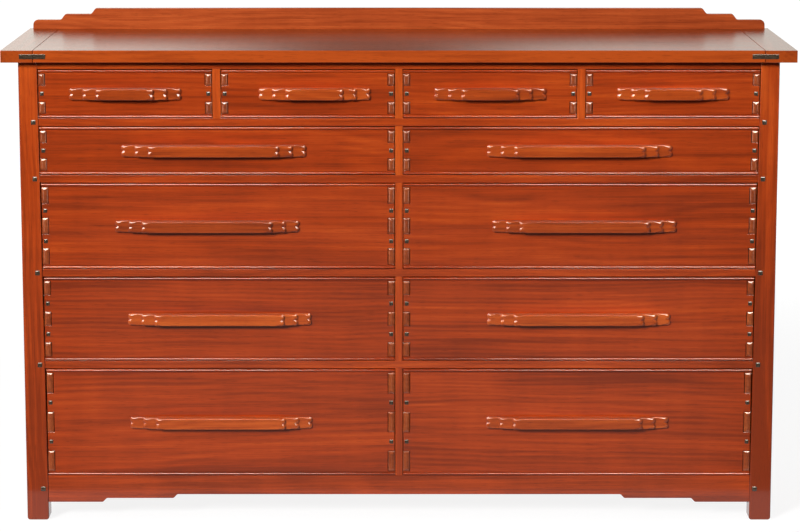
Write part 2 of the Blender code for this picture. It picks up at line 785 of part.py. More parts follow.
def add_drawer_front(drawer, axis):
    """A front with a notch for each finger, a groove for the bottom panel and its pegs."""
    front = bmesh.new()
    half = drawer.half_width
    prism(front, front_profile(drawer.height), "x", (-half, half))
    notches = bmesh.new()
    through = (-FINGER_PROUD - CUT_OVERRUN, FRONT_THICKNESS + CUT_OVERRUN)
    for side in (-1, 1):
        across = sorted((side * (half - BOX_SIDE_THICKNESS - FIT_GAP), side * (half + CUT_OVERRUN)))
        for finger in drawer.fingers():
            box(notches, across, through, grown(finger))
    groove = bmesh.new()
    box(groove, *[grown(span) for span in bottom_panel_spans(drawer)])
    pegs = bmesh.new()
    for across, height in drawer.peg_places():
        peg(pegs, (across, 0, height), (0, -1), DRAWER_PEG_SIZE)
    front = combined(front, notches, "DIFFERENCE")
    front = combined(front, groove, "DIFFERENCE")
    front = combined(front, pegs, "UNION")
    add_node(f"{drawer.name}_front", front, FRONT_RED, SATIN, axis, pegged=True)


def side_outline(drawer):
    """A drawer side seen from the side, with rounded fingers that stand proud of the face."""
    floor = FIT_GAP - DRAWER_REVEAL
    shoulder = FRONT_THICKNESS + FIT_GAP
    outline = [(BOX_LENGTH, floor), (shoulder, floor)]
    for low, high in drawer.fingers():
        outline.append((shoulder, low))
        outline += quarter_arc((-FINGER_PROUD, low), (FINGER_PROUD, 0), (0, FINGER_ROUND))
        outline += quarter_arc((-FINGER_PROUD, high), (0, -FINGER_ROUND), (FINGER_PROUD, 0))
        outline.append((shoulder, high))
    ceiling = drawer.height - BOX_SIDE_DROP
    return outline + [(shoulder, ceiling), (BOX_LENGTH, ceiling)]


def add_drawer_box(drawer, axis):
    """Two sides with fingers, the bottom panel in their grooves and the back, glued into one box."""
    sides = bmesh.new()
    half = drawer.half_width
    for side in (-1, 1):
        across = sorted((side * (half - BOX_SIDE_THICKNESS), side * half))
        prism(sides, side_outline(drawer), "x", across)
    across, depth, height = bottom_panel_spans(drawer)
    bottom = bmesh.new()
    box(bottom, across, depth, height)
    inside = half - BOX_SIDE_THICKNESS + JOINT_OVERLAP
    ceiling = drawer.height - BOX_SIDE_DROP - BOX_BACK_DROP
    floor = sum(height) / 2
    back = bmesh.new()
    thickness = around(depth[1] - BOX_BACK_THICKNESS, BOX_BACK_THICKNESS)
    box(back, (-inside, inside), thickness, (floor, ceiling))
    made = combined(combined(sides, bottom, "UNION"), back, "UNION")
    add_node(f"{drawer.name}_box", made, BOX_BROWN, PLAIN, axis)


def forked_outline(half_length, half_height):
    """A bar seen from the front, each end with two round lobes and a notch between them."""
    end = []
    for middle in (half_height / 2, -half_height / 2):
        for step in range(FORK_STEPS + 1):
            turn = math.pi * step / FORK_STEPS
            along = PULL_FORK_DEPTH * (1 - math.sin(turn)) - half_length
            end.append((along, middle + half_height / 2 * math.cos(turn)))
    end.pop(FORK_STEPS)
    return end + [(-along, up) for along, up in reversed(end)]


def pull_rings(length):
    """Rings of a pull from the drawer's face outwards: three tiers, each shorter and slimmer."""
    rings = []
    reach = -FIT_GAP
    for number, depth in enumerate(PULL_TIER_DEPTHS):
        half_length = length / 2 - number * PULL_TIER_STEP
        outline = forked_outline(half_length, PULL_HEIGHT / 2 - number * PULL_TIER_EASE)
        rings.append([(across, reach, up) for across, up in outline])
        reach -= depth
        rings.append([(across, reach, up) for across, up in outline])
    return rings


def add_drawer_pull(drawer, axis):
    """A pull in the middle of the front's height, with a cove for the fingers below and behind it."""
    pull = bmesh.new()
    loft(pull, pull_rings(drawer.pull_length))
    floor = -PULL_HEIGHT / 2
    behind = CUT_OVERRUN
    below = floor - CUT_OVERRUN
    curve = quarter_arc(
        (-COVE_DEPTH, floor + COVE_HEIGHT),
        (COVE_DEPTH, 0),
        (0, -COVE_HEIGHT),
        COVE_STEPS,
    )
    outline = [(behind, below), (behind, floor + COVE_HEIGHT), *curve, (-COVE_DEPTH, below)]
    shortest = drawer.pull_length / 2 - (len(PULL_TIER_DEPTHS) - 1) * PULL_TIER_STEP
    half = shortest - COVE_END
    cove = bmesh.new()
    prism(cove, outline, "x", (-half, half))
    pull = combined(pull, cove, "DIFFERENCE")
    made = add_node(f"{drawer.name}_pull", pull, PULL_RED, SATIN, axis)
    made.location = (PULL_SHIFTS.get(drawer.name, 0), 0, drawer.height / 2)


def add_drawer(drawer):
    """One drawer, whose three nodes hang on an empty that slides along Y."""
    axis = bpy.data.objects.new(f"{drawer.name}_slide", None)
    axis.location = (drawer.middle, FACE_PLANE, opening_floor(drawer.row) + DRAWER_REVEAL)
    bpy.context.scene.collection.objects.link(axis)
    add_drawer_front(drawer, axis)
    add_drawer_box(drawer, axis)
    add_drawer_pull(drawer, axis)


def clear_scene():
    for old in list(bpy.data.objects):
        bpy.data.objects.remove(old)


def main():
    clear_scene()
    add_corner_posts()
    add_apron()
    add_sides()
    add_back()
    add_drawer_frames()
    add_centre_partition()
    add_short_stiles()
    add_top()
    add_top_splines()
    add_backsplash()
    for drawer in drawers():
        add_drawer(drawer)


main()
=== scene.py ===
"""The looks of a long chest of twelve drawers, in glossy reddish hardwood with black pegs.

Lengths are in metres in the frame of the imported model: the front faces -Y, +X is to the right of
someone who faces the front, and +Z is up.
"""

import math
import random

import bmesh
import bpy
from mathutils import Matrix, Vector


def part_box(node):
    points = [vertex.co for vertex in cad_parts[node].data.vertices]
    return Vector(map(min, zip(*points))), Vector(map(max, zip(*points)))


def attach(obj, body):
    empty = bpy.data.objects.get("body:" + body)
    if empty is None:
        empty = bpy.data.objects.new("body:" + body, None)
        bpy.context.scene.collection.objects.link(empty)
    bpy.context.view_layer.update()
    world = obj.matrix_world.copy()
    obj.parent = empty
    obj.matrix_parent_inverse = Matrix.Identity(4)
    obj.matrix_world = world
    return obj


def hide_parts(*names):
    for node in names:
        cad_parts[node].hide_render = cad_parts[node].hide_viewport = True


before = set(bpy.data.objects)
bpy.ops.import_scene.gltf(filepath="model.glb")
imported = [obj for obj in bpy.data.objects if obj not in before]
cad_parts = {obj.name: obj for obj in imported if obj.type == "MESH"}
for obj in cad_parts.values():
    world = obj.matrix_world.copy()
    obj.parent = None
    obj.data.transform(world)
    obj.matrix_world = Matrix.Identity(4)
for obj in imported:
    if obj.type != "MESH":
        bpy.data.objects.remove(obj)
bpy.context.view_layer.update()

# Camera, at the photograph's viewing angle
SENSOR_MM = 36
LENS_MM = 126
CAMERA_PLACE = (0.0025, -6.66, 1.79)
CAMERA_PITCH = math.radians(9.1)
CAMERA_SHIFT = -0.08

# Sizes of the construction that the frame's boxes don't give
FIT_GAP = 0.0003
POST_TOP_WIDTH = 0.0435
POST_FOOT_WIDTH = 0.051
FOOT_BEVEL = 0.004
RAIL_HEIGHT = 0.019
RAIL_DEPTH = 0.055
STILE_DEPTH = 0.055
DRAWER_REVEAL = 0.001
PEG_PROUD = 0.0018
POST_PEG_SIZE = 0.011
POST_PEG_EDGE = 0.0115
DRAWER_PEG_SIZE = 0.0095
APRON_END_HEIGHT = 0.0645
APRON_LIFT = 0.0093
APRON_LIFT_RUN = 0.013
APRON_LENGTHS = (0.126, 0.154)
SIDE_LIFT = 0.0093
SIDE_LIFT_RUN = 0.013
SIDE_END_LENGTH = 0.080
SIDE_TOP_RAIL_HEIGHT = 0.075
SIDE_BOTTOM_RAIL_HEIGHT = 0.095
SIDE_PANEL_THICKNESS = 0.009
BACK_RAIL_HEIGHT = 0.070
BACK_STILE_WIDTH = 0.060
SPLINE_STEP = 0.0025
SPLASH_LIFT = 0.0143
SPLASH_LIFT_RUN = 0.016
SPLASH_LENGTHS = (0.066, 0.059)
SPLASH_END_ROUND = 0.012
RUNNER_BEARING = 0.020
FRAME_BACK_RAIL_DEPTH = 0.050
DUST_PANEL_THICKNESS = 0.006
GUIDE_HEIGHT = 0.022
GUIDE_CLEARANCE = 0.0005

# Drawers
ROWS = 5
FRONT_THICKNESS = 0.019
BEAD_HEIGHT = 0.005
BEAD_PROUD = 0.003
QUIRK_WIDTH = 0.0026
QUIRK_DEPTH = 0.0026
QUIRK_EDGE = BEAD_HEIGHT + QUIRK_WIDTH
BOX_SIDE_THICKNESS = 0.0155
BOX_BACK_THICKNESS = 0.012
BOX_BACK_INSET = 0.012
BOX_BACK_DROP = 0.006
BOX_BOTTOM_THICKNESS = 0.006
BOX_BOTTOM_RAISE = 0.010
FINGER_MARGIN = 0.0095
FINGERS = {1: (2, 0.0275), 2: (2, 0.0275), 3: (3, 0.038), 4: (3, 0.033), 5: (3, 0.0485)}

# Pulls
PULL_TIER_DEPTHS = (0.008, 0.0075, 0.0075)
PULL_TIER_STEP = 0.031
PULL_TIER_EASE = 0.0003
LOBE_TURN = math.radians(55)
COVE_DEPTH = 0.012
COVE_HEIGHT = 0.011
COVE_END = 0.012

# Rounded edges
POST_EASE = 0.0025
RAIL_EASE = 0.0008
RAIL_LOWER_EASE = 0.0022
TOP_EASE = 0.0014
SEAM_EASE = 0.0009
EDGE_EASE = 0.0008
FINGER_CROWN = (0.0027, 0.0058)
FINGER_TILTS = (math.radians(38), math.radians(13))
FINGER_ROUNDING = 0.7
PULL_CROWN = (0.0030, 0.0017)
PULL_TILTS = (math.radians(45), math.radians(7))
LOBE_INSET = 3.6
LOBE_NOTCH = 1.4
EASE_STEPS = 3
ROUND_STEPS = 6
LIFT_STEPS = 8
BEAD_STEPS = 12
ROUNDEST = 0.9
PEG_CORNER_PARTS = 6
PEG_DOME_TURN = 0.9
PEG_DOME_INSET = 0.44
SHARP_ANGLE = math.radians(35)
FLAT_FACE_WEIGHT = 90

# Other small lengths
SHADOW_GAP = 0.0005
SEAM_GAP = 0.001
OVERRUN = 0.005
OVERLAP = 0.002
NEAR = 1e-5
SIDES = ((-1, "left"), (1, "right"))

# Tones: how much lighter than its finish a board is
POST_TONES = {"left": -0.2, "right": -0.36}
POST_FADE = 0.8
APRON_TONE = -0.25
RAIL_TONE = 0.03
RAIL_TONE_STEP = -0.065
CENTRE_STILE_TONE = 0.62
CENTRE_STILE_TONE_STEP = -0.16
SHORT_STILE_TONE = 0.24
SPLASH_TONE = -0.08
# The top boards are drawn lighter all over; the second number is painted shade on their upward faces, which
# take more light from above than the front edges.
TOP_EDGE_TONE = 0.36
TOP_PAINTED_SHADE = -0.62
FRONT_TONES = {1: 0.02, 2: -0.08, 3: -0.02, 4: -0.14, 5: -0.14}
PULL_TONES = {
    "drawer_1a": -0.08,
    "drawer_1b": 0.0,
    "drawer_1c": -0.15,
    "drawer_1d": -0.04,
    "drawer_2_left": -0.1,
    "drawer_2_right": 0.04,
    "drawer_3_left": -0.26,
    "drawer_3_right": -0.1,
    "drawer_4_left": 0.18,
    "drawer_4_right": 0.16,
    "drawer_5_left": 0.1,
    "drawer_5_right": -0.02,
}


# Places worked out from the frame


def spans(node):
    """A CAD node's reach along X, Y and Z, each from least to most."""
    return tuple(zip(*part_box(node)))


POST_SPANS = spans("post_front_right")
BACK_POST_SPANS = spans("post_back_right")
HALF_CASE = POST_SPANS[0][1] - PEG_PROUD
POST_FRONT = POST_SPANS[1][0] + PEG_PROUD
POST_BACK = POST_SPANS[1][1]
POST_HEIGHT = POST_SPANS[2][1]
BACK_POST_FRONT = BACK_POST_SPANS[1][0]
RAIL_FRONT = spans("apron")[1][0]
RAIL_BACK = RAIL_FRONT + RAIL_DEPTH
INSIDE_BACK = spans("top_frame")[1][1]


def post_width_at(height):
    """Width of a front post, which tapers on its inner side."""
    return POST_FOOT_WIDTH + (POST_TOP_WIDTH - POST_FOOT_WIDTH) * height / POST_HEIGHT


# Shapes


def grown(span, by):
    """A span made longer at both ends."""
    return span[0] - by, span[1] + by


def middle_of(span):
    return (span[0] + span[1]) / 2


def around(middle, size):
    """The span of a size about its middle."""
    return middle - size / 2, middle + size / 2


def loft(shape, rings):
    """A closed body through rings of as many points each, with a flat face at each end."""
    made = [[shape.verts.new(point) for point in ring] for ring in rings]
    shape.faces.new(list(reversed(made[0])))
    shape.faces.new(made[-1])
    for lower, upper in zip(made, made[1:]):
        for place in range(len(lower)):
            following = (place + 1) % len(lower)
            shape.faces.new((lower[place], lower[following], upper[following], upper[place]))
    bmesh.ops.recalc_face_normals(shape, faces=shape.faces)


def prism(outline, axis, span):
    """A new shape: an outline carried along X, Y or Z, drawn in the two other axes in their order."""
    rings = []
    for along in span:
        ring = []
        for first, second in outline:
            point = [first, second]
            point.insert("xyz".index(axis), along)
            ring.append(point)
        rings.append(ring)
    shape = bmesh.new()
    loft(shape, rings)
    return shape


def board(x_span, y_span, z_span, ease=EDGE_EASE, along="xyz"):
    """A new shape: a board between six planes, with its edges along the given axes rounded."""
    left, right = x_span
    front, back = y_span
    shape = prism([(left, front), (right, front), (right, back), (left, back)], "z", z_span)
    return eased(shape, ease, along=along)


def eased(shape, radius, steps=EASE_STEPS, along="xyz", where=None):
    """Rounds the sharp edges of a shape, or only those along some axes or at some places."""
    chosen = []
    for edge in shape.edges:
        if edge.calc_face_angle(0) < SHARP_ANGLE:
            continue
        run = [abs(step) for step in edge.verts[1].co - edge.verts[0].co]
        if "xyz"[run.index(max(run))] not in along:
            continue
        if where is None or all(where(vert.co) for vert in edge.verts):
            chosen.append(edge)
    bmesh.ops.bevel(
        shape,
        geom=chosen,
        offset=radius,
        segments=steps,
        profile=0.5,
        affect="EDGES",
        clamp_overlap=True,
    )
    return shape


def quarter_arc(corner, first, second):
    """Points of a quarter ellipse that rounds a corner, from the end of one leg to the other's."""
    points = []
    for step in range(ROUND_STEPS + 1):
        turn = math.pi / 2 * step / ROUND_STEPS
        share_first = 1 - math.sin(turn)
        share_second = 1 - math.cos(turn)
        across = corner[0] + first[0] * share_first + second[0] * share_second
        up = corner[1] + first[1] * share_first + second[1] * share_second
        points.append((across, up))
    return points


def lift(start, end):
    """Points of a smooth S between two levels of an edge."""
    points = []
    for step in range(LIFT_STEPS + 1):
        share = step / LIFT_STEPS
        rise = (1 - math.cos(math.pi * share)) / 2
        points.append((start[0] + (end[0] - start[0]) * share, start[1] + (end[1] - start[1]) * rise))
    return points


def lifted_edge(half_length, level, rise, run, lengths):
    """An edge that rises by one lift after each of the lengths from both ends."""
    half = []
    along = -half_length
    for length in lengths:
        along += length
        half += lift((along, level), (along + run, level + rise))
        along += run
        level += rise
    return half + [(-first, second) for first, second in reversed(half)]


def combined(shape, other, operation):
    """Two shapes joined by a Boolean union, or the first with the second cut away as a difference."""
    helpers = []
    for part in (shape, other):
        bmesh.ops.recalc_face_normals(part, faces=part.faces)
        mesh = bpy.data.meshes.new("helper")
        part.to_mesh(mesh)
        part.free()
        helper = bpy.data.objects.new("helper", mesh)
        bpy.context.scene.collection.objects.link(helper)
        helpers.append(helper)
    boolean = helpers[0].modifiers.new("boolean", "BOOLEAN")
    boolean.operation = operation
    boolean.solver = "EXACT"
    boolean.object = helpers[1]
    graph = bpy.context.evaluated_depsgraph_get()
    evaluated = bpy.data.meshes.new_from_object(helpers[0].evaluated_get(graph))
    result = bmesh.new()
    result.from_mesh(evaluated)
    bpy.data.meshes.remove(evaluated)
    for helper in helpers:
        mesh = helper.data
        bpy.data.objects.remove(helper)
        bpy.data.meshes.remove(mesh)
    return result


# Pieces

GRAIN_START = 8.0
GRAIN_SLOPE = 0.012
PITH_DEPTH = (0.05, 0.16)
PITH_OFFSET = 0.2


def grained(shape, axis, key, tone=0.0, flat_sawn=False, fade=0.0):
    """Marks where a board's points lie in its own wood, and how far its faces are end grain.

    The wood runs along the axis. Each board comes from another place in it, which the key picks. A
    flat-sawn board lies close above the heart of the tree, so its growth rings show as arches. A
    tone makes a board lighter, and a fade makes it lighter towards the top of the case.
    """
    chance = random.Random(key)
    along = "xyz".index(axis)
    reach = [[vert.co[way] for vert in shape.verts] for way in range(3)]
    size = [max(values) - min(values) for values in reach]
    middle = [(max(values) + min(values)) / 2 for values in reach]
    thin, wide = sorted({0, 1, 2} - {along}, key=lambda way: size[way])
    start = [chance.uniform(0, GRAIN_START) for _ in range(3)]
    if flat_sawn:
        start[1] = chance.uniform(-PITH_OFFSET, PITH_OFFSET) * size[wide]
        start[2] = chance.uniform(*PITH_DEPTH)
    turned = chance.choice((-1, 1))
    slope = chance.uniform(-GRAIN_SLOPE, GRAIN_SLOPE)
    place = shape.verts.layers.float_vector.new("grain")
    ends = shape.faces.layers.float.new("end_grain")
    tones = shape.verts.layers.float.new("tone")
    for vert in shape.verts:
        run = (vert.co[along] - middle[along]) * turned
        across = vert.co[wide] - middle[wide] + run * slope
        through = vert.co[thin] - middle[thin]
        vert[place] = (start[0] + run, start[1] + across, start[2] + through)
        vert[tones] = tone + fade * (vert.co.z / POST_HEIGHT - 0.5)
    shape.normal_update()
    for face in shape.faces:
        face[ends] = abs(face.normal[along])
    return shape


def add_piece(name, shapes, slot, body, *nodes, finish=None):
    """One piece made of grained shapes, which rides on a body and stands for its CAD nodes.

    It has its slot's finish, or another one that is named.
    """
    joined = bmesh.new()
    for shape in shapes:
        bmesh.ops.recalc_face_normals(shape, faces=shape.faces)
        part = bpy.data.meshes.new(name)
        shape.to_mesh(part)
        shape.free()
        joined.from_mesh(part)
        bpy.data.meshes.remove(part)
    mesh = bpy.data.meshes.new(name)
    joined.to_mesh(mesh)
    joined.free()
    mesh.materials.append(FINISHES[finish or slot])
    mesh.shade_smooth()
    mesh.set_sharp_from_angle(angle=SHARP_ANGLE)
    piece = bpy.data.objects.new(name, mesh)
    bpy.context.scene.collection.objects.link(piece)
    weighted = piece.modifiers.new("flat faces", "WEIGHTED_NORMAL")
    weighted.keep_sharp = True
    weighted.weight = FLAT_FACE_WEIGHT
    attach(piece, body)
    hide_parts(*nodes)
    return piece


# Materials


class Nodes:
    """Adds nodes to a tree and links them."""

    def __init__(self, tree):
        self.tree = tree

    def add(self, kind, inputs=None, **settings):
        node = self.tree.nodes.new(kind)
        for name, value in settings.items():
            setattr(node, name, value)
        for socket, value in (inputs or {}).items():
            self.feed(node.inputs[socket], value)
        return node

    def feed(self, socket, value):
        if isinstance(value, bpy.types.NodeSocket):
            self.tree.links.new(value, socket)
        else:
            socket.default_value = value

    def attribute(self, name, output):
        return self.add("ShaderNodeAttribute", attribute_name=name).outputs[output]

    def math(self, operation, first, second=0.0):
        return self.add("ShaderNodeMath", {0: first, 1: second}, operation=operation).outputs[0]

    def noise(self, place, per_metre, detail=2.0, roughness=0.5, distortion=0.0):
        """Noise with so many features a metre along, across and through the wood."""
        inputs = {0: place, 1: per_metre}
        stretched = self.add("ShaderNodeVectorMath", inputs, operation="MULTIPLY").outputs[0]
        inputs = {
            "Vector": stretched,
            "Scale": 1.0,
            "Detail": detail,
            "Roughness": roughness,
            "Distortion": distortion,
        }
        return self.add("ShaderNodeTexNoise", inputs).outputs[0]

    def between(self, value, low, high, start=0.0, end=1.0):
        """Goes smoothly from start to end as a value goes from low to high."""
        inputs = {"Value": value, "From Min": low, "From Max": high, "To Min": start, "To Max": end}
        return self.add("ShaderNodeMapRange", inputs, interpolation_type="SMOOTHSTEP").outputs[0]

    def swing(self, value, amount):
        """How far a value lies from a half, times an amount."""
        return self.math("MULTIPLY", self.math("SUBTRACT", value, 0.5), amount)

    def total(self, *values):
        found = values[0]
        for value in values[1:]:
            found = self.math("ADD", found, value)
        return found

    def ramp(self, value, stops):
        """Colours between stops, each a place and a colour."""
        ramp = self.add("ShaderNodeValToRGB", {0: value})
        elements = ramp.color_ramp.elements
        while len(elements) < len(stops):
            elements.new(0.5)
        for element, (place, colour) in zip(elements, stops):
            element.position = place
            element.color = (*colour, 1)
        return ramp.outputs[0]

    def mix(self, share, first, second):
        inputs = {0: share, 6: first, 7: second}
        return self.add("ShaderNodeMix", inputs, data_type="RGBA").outputs[2]


# How many features the wood has in a metre along, across and through it
FIGURE = (1.7, 13, 13)
STREAKS = (1.5, 75, 75)
FINE_STREAKS = (7, 380, 380)
RIBBON = (16, 3, 3)
DARK_LINES = (1.9, 34, 34)
PORES = (38, 1250, 1250)
RING_WANDER = (1.6, 5, 5)
EBONY_STREAKS = (60, 900, 900)
RINGS = 95

# How strongly they show
FIGURE_SWING = 1.0
STREAK_SWING = 1.1
FINE_SWING = 0.5
RIBBON_SWING = 0.25
RING_SWING = 0.16
WANDER_SWING = 0.05
LINE_EDGE = (0.63, 0.76)
LINE_SHARE = 0.35
PORE_EDGE = (0.60, 0.72)
PORE_SHARE = 0.45
CUT_EDGE = (0.55, 0.95)
CUT_TINT = (0.7, 0.8, 1.1)
SHADE = 0.35
RAMP_PLACES = (0.08, 0.5, 0.92)

# Surfaces
WOOD_ROUGHNESS = 0.36
FIGURE_ROUGHNESS = 0.10
PORE_ROUGHNESS = 0.15
STREAK_RELIEF = 0.5
BUMP_STRENGTH = 0.25
BUMP_DISTANCE = 0.00012
SPECULAR_LEVEL = 0.05
COAT_IOR = 1.5
EBONY_COLOURS = [(0.35, (0.018, 0.011, 0.006)), (0.7, (0.060, 0.036, 0.017))]
EBONY_ROUGHNESS = (0.3, 0.7, 0.22, 0.34)
EBONY_COAT = 0.3
EBONY_COAT_ROUGHNESS = 0.08


def ring_lines(nodes, place):
    """Growth rings about the heart of the tree, which wanders a little, from minus a half to a half."""
    wander = nodes.swing(nodes.noise(place, RING_WANDER), WANDER_SWING)
    split = nodes.add("ShaderNodeSeparateXYZ", {0: place})
    across = nodes.math("ADD", split.outputs[1], wander)
    through = nodes.math("ADD", split.outputs[2], wander)
    squares = nodes.math("ADD", nodes.math("POWER", across, 2.0), nodes.math("POWER", through, 2.0))
    distance = nodes.math("SQRT", squares)
    wave = nodes.math("SINE", nodes.math("MULTIPLY", distance, RINGS * 2 * math.pi))
    return nodes.math("MULTIPLY", wave, 0.5)


def hardwood(name, dark, middle, light, coat=0.8, coat_roughness=0.1, streak=1.0, ends=0.8):
    """Glossy reddish hardwood: broad figure, streaks, growth rings, open pores and dark end grain.

    The streak says how plain its streaks are, and the ends say how dark its end grain is.
    """
    material = bpy.data.materials.new(name)
    material.use_nodes = True
    nodes = Nodes(material.node_tree)
    shader = material.node_tree.nodes["Principled BSDF"]
    place = nodes.attribute("grain", "Vector")
    figure = nodes.noise(place, FIGURE, detail=3, distortion=0.6)
    streaks = nodes.noise(place, STREAKS, detail=4, roughness=0.62)
    level = nodes.total(
        nodes.swing(figure, FIGURE_SWING),
        nodes.swing(streaks, STREAK_SWING * streak),
        nodes.swing(nodes.noise(place, FINE_STREAKS), FINE_SWING * streak),
        nodes.swing(nodes.noise(place, RIBBON), RIBBON_SWING),
        nodes.math("MULTIPLY", ring_lines(nodes, place), RING_SWING * streak),
        nodes.attribute("tone", "Fac"),
        0.5,
    )
    colour = nodes.ramp(level, list(zip(RAMP_PLACES, (dark, middle, light))))
    shade = tuple(SHADE * part for part in dark)
    lines = nodes.between(nodes.noise(place, DARK_LINES, detail=3, roughness=0.55), *LINE_EDGE)
    colour = nodes.mix(nodes.math("MULTIPLY", lines, LINE_SHARE * streak), colour, (*shade, 1))
    pores = nodes.between(nodes.noise(place, PORES, detail=1), *PORE_EDGE)
    colour = nodes.mix(nodes.math("MULTIPLY", pores, PORE_SHARE), colour, (*shade, 1))
    cut = nodes.between(nodes.attribute("end_grain", "Fac"), *CUT_EDGE)
    end_colour = tuple(part * scale for part, scale in zip(dark, CUT_TINT))
    colour = nodes.mix(nodes.math("MULTIPLY", cut, ends), colour, (*end_colour, 1))
    roughness = nodes.total(
        nodes.swing(figure, FIGURE_ROUGHNESS),
        nodes.math("MULTIPLY", pores, PORE_ROUGHNESS),
        WOOD_ROUGHNESS,
    )
    relief = nodes.math("ADD", nodes.math("MULTIPLY", pores, -1.0), nodes.swing(streaks, STREAK_RELIEF))
    inputs = {"Strength": BUMP_STRENGTH, "Distance": BUMP_DISTANCE, "Height": relief}
    bump = nodes.add("ShaderNodeBump", inputs)
    nodes.feed(shader.inputs["Base Color"], colour)
    nodes.feed(shader.inputs["Roughness"], roughness)
    nodes.feed(shader.inputs["Normal"], bump.outputs[0])
    shader.inputs["Specular IOR Level"].default_value = SPECULAR_LEVEL
    shader.inputs["Coat Weight"].default_value = coat
    shader.inputs["Coat Roughness"].default_value = coat_roughness
    shader.inputs["Coat IOR"].default_value = COAT_IOR
    return material


def ebony(name):
    """Polished near-black wood with faint brown streaks."""
    material = bpy.data.materials.new(name)
    material.use_nodes = True
    nodes = Nodes(material.node_tree)
    shader = material.node_tree.nodes["Principled BSDF"]
    place = nodes.attribute("grain", "Vector")
    streaks = nodes.noise(place, EBONY_STREAKS, detail=3)
    nodes.feed(shader.inputs["Base Color"], nodes.ramp(streaks, EBONY_COLOURS))
    nodes.feed(shader.inputs["Roughness"], nodes.between(streaks, *EBONY_ROUGHNESS))
    shader.inputs["Coat Weight"].default_value = EBONY_COAT
    shader.inputs["Coat Roughness"].default_value = EBONY_COAT_ROUGHNESS
    return material


FINISHES = {
    "case_wood": hardwood("case", (0.22, 0.025, 0.003), (0.40, 0.048, 0.005), (0.57, 0.089, 0.010)),
    # The backsplash's wood is the case wood with paler green and blue: a painted haze in place of the
    # panels' sheen, whose light it is kept out of.
    "splash_wood_with_painted_haze": hardwood("splash", (0.24, 0.036, 0.009), (0.42, 0.072, 0.017), (0.58, 0.118, 0.028)),
    "top_wood": hardwood(
        "top", (0.14, 0.020, 0.003), (0.30, 0.040, 0.005), (0.46, 0.070, 0.008), 0.9, 0.22, 0.8, 0.2
    ),
    "front_wood": hardwood("front", (0.20, 0.022, 0.003), (0.36, 0.040, 0.004), (0.50, 0.070, 0.007)),
    "pull_wood": hardwood("pull", (0.23, 0.031, 0.005), (0.40, 0.058, 0.007), (0.55, 0.100, 0.013), 0.7),
    "box_wood": hardwood("box", (0.20, 0.033, 0.009), (0.34, 0.064, 0.016), (0.46, 0.108, 0.027), ends=0.3),
    "inner_wood": hardwood("inner", (0.26, 0.10, 0.04), (0.38, 0.17, 0.075), (0.50, 0.25, 0.12), 0.1, 0.4),
    "ebony": ebony("black"),
}


# The case


def crowned_peg(middle, outward, size):
    """A new shape: a square peg with a domed head, which stands out of a face along X or Y."""
    axis = 0 if outward[0] else 1
    across = 1 - axis
    corner = size / PEG_CORNER_PARTS
    rings = []
    for reach, inset in peg_steps(size):
        ring = []
        half = size / 2 - inset
        for side, up in rounded_square(half, min(corner, half * ROUNDEST)):
            point = list(middle)
            point[axis] += outward[axis] * reach
            point[across] += side
            point[2] += up
            ring.append(point)
        rings.append(ring)
    shape = bmesh.new()
    loft(shape, rings)
    return shape


def peg_steps(size):
    """How far each ring of a peg stands out, and how far it lies within the peg's square."""
    steps = [(-OVERLAP, 0), (0, 0)]
    for step in range(1, ROUND_STEPS + 1):
        turn = math.pi / 2 * step / ROUND_STEPS * PEG_DOME_TURN
        steps.append((PEG_PROUD * math.sin(turn), size * PEG_DOME_INSET * (1 - math.cos(turn))))
    return steps


def rounded_square(half_width, corner, half_height=None):
    """Points round a rectangle with round corners."""
    half_height = half_height or half_width
    points = []
    for number, (side, up) in enumerate(((1, 1), (-1, 1), (-1, -1), (1, -1))):
        for step in range(EASE_STEPS + 1):
            turn = math.pi / 2 * (number + step / EASE_STEPS)
            across = side * (half_width - corner) + corner * math.cos(turn)
            points.append((across, up * (half_height - corner) + corner * math.sin(turn)))
    return points


def post_outline(side, top_width, foot_width):
    """A post seen from the front, with its foot bevelled and its inner side tapered or straight."""
    foot = HALF_CASE - foot_width
    points = [
        (foot + FOOT_BEVEL, 0),
        (HALF_CASE - FOOT_BEVEL, 0),
        (HALF_CASE, FOOT_BEVEL),
        (HALF_CASE, POST_HEIGHT),
        (HALF_CASE - top_width, POST_HEIGHT),
        (foot, FOOT_BEVEL),
    ]
    return [(side * across, height) for across, height in points]


def side_peg_places(side, along):
    """Pegs in the outer side of a post, one for each rail of the side."""
    heights = (
        spans("apron")[2][0] + SIDE_BOTTOM_RAIL_HEIGHT / 2,
        POST_HEIGHT - SIDE_TOP_RAIL_HEIGHT / 2,
    )
    return [((side * HALF_CASE, along, height), (side, 0)) for height in heights]


def front_peg_places(side):
    """Pegs in the front of a front post, one for the apron and one for each rail."""
    heights = [spans("apron")[2][0] + APRON_END_HEIGHT / 2]
    heights += [spans(f"drawer_frame_{row}")[2][0] + RAIL_HEIGHT / 2 for row in range(1, ROWS)]
    places = []
    for height in heights:
        across = side * (HALF_CASE - post_width_at(height) + POST_PEG_EDGE)
        places.append(((across, POST_FRONT, height), (0, -1)))
    return places


def add_post(name, outline, depth, pegs):
    post = eased(prism(outline, "y", depth), POST_EASE)
    tone = POST_TONES[name.split("_")[-1]]
    add_piece(f"{name}_leg", [grained(post, "z", name, tone, fade=POST_FADE)], "case_wood", "case", name)
    size = POST_PEG_SIZE
    heads = [grained(crowned_peg(*place, size), "z", f"{name} {place}") for place in pegs]
    add_piece(f"{name}_pegs", heads, "ebony", "case", name)


def add_posts():
    for side, word in SIDES:
        outline = post_outline(side, POST_TOP_WIDTH, POST_FOOT_WIDTH)
        pegs = front_peg_places(side) + side_peg_places(side, POST_BACK - POST_PEG_EDGE)
        add_post(f"post_front_{word}", outline, (POST_FRONT, POST_BACK), pegs)
        outline = post_outline(side, POST_TOP_WIDTH, POST_TOP_WIDTH)
        pegs = side_peg_places(side, BACK_POST_FRONT + POST_PEG_EDGE)
        add_post(f"post_back_{word}", outline, BACK_POST_SPANS[1], pegs)


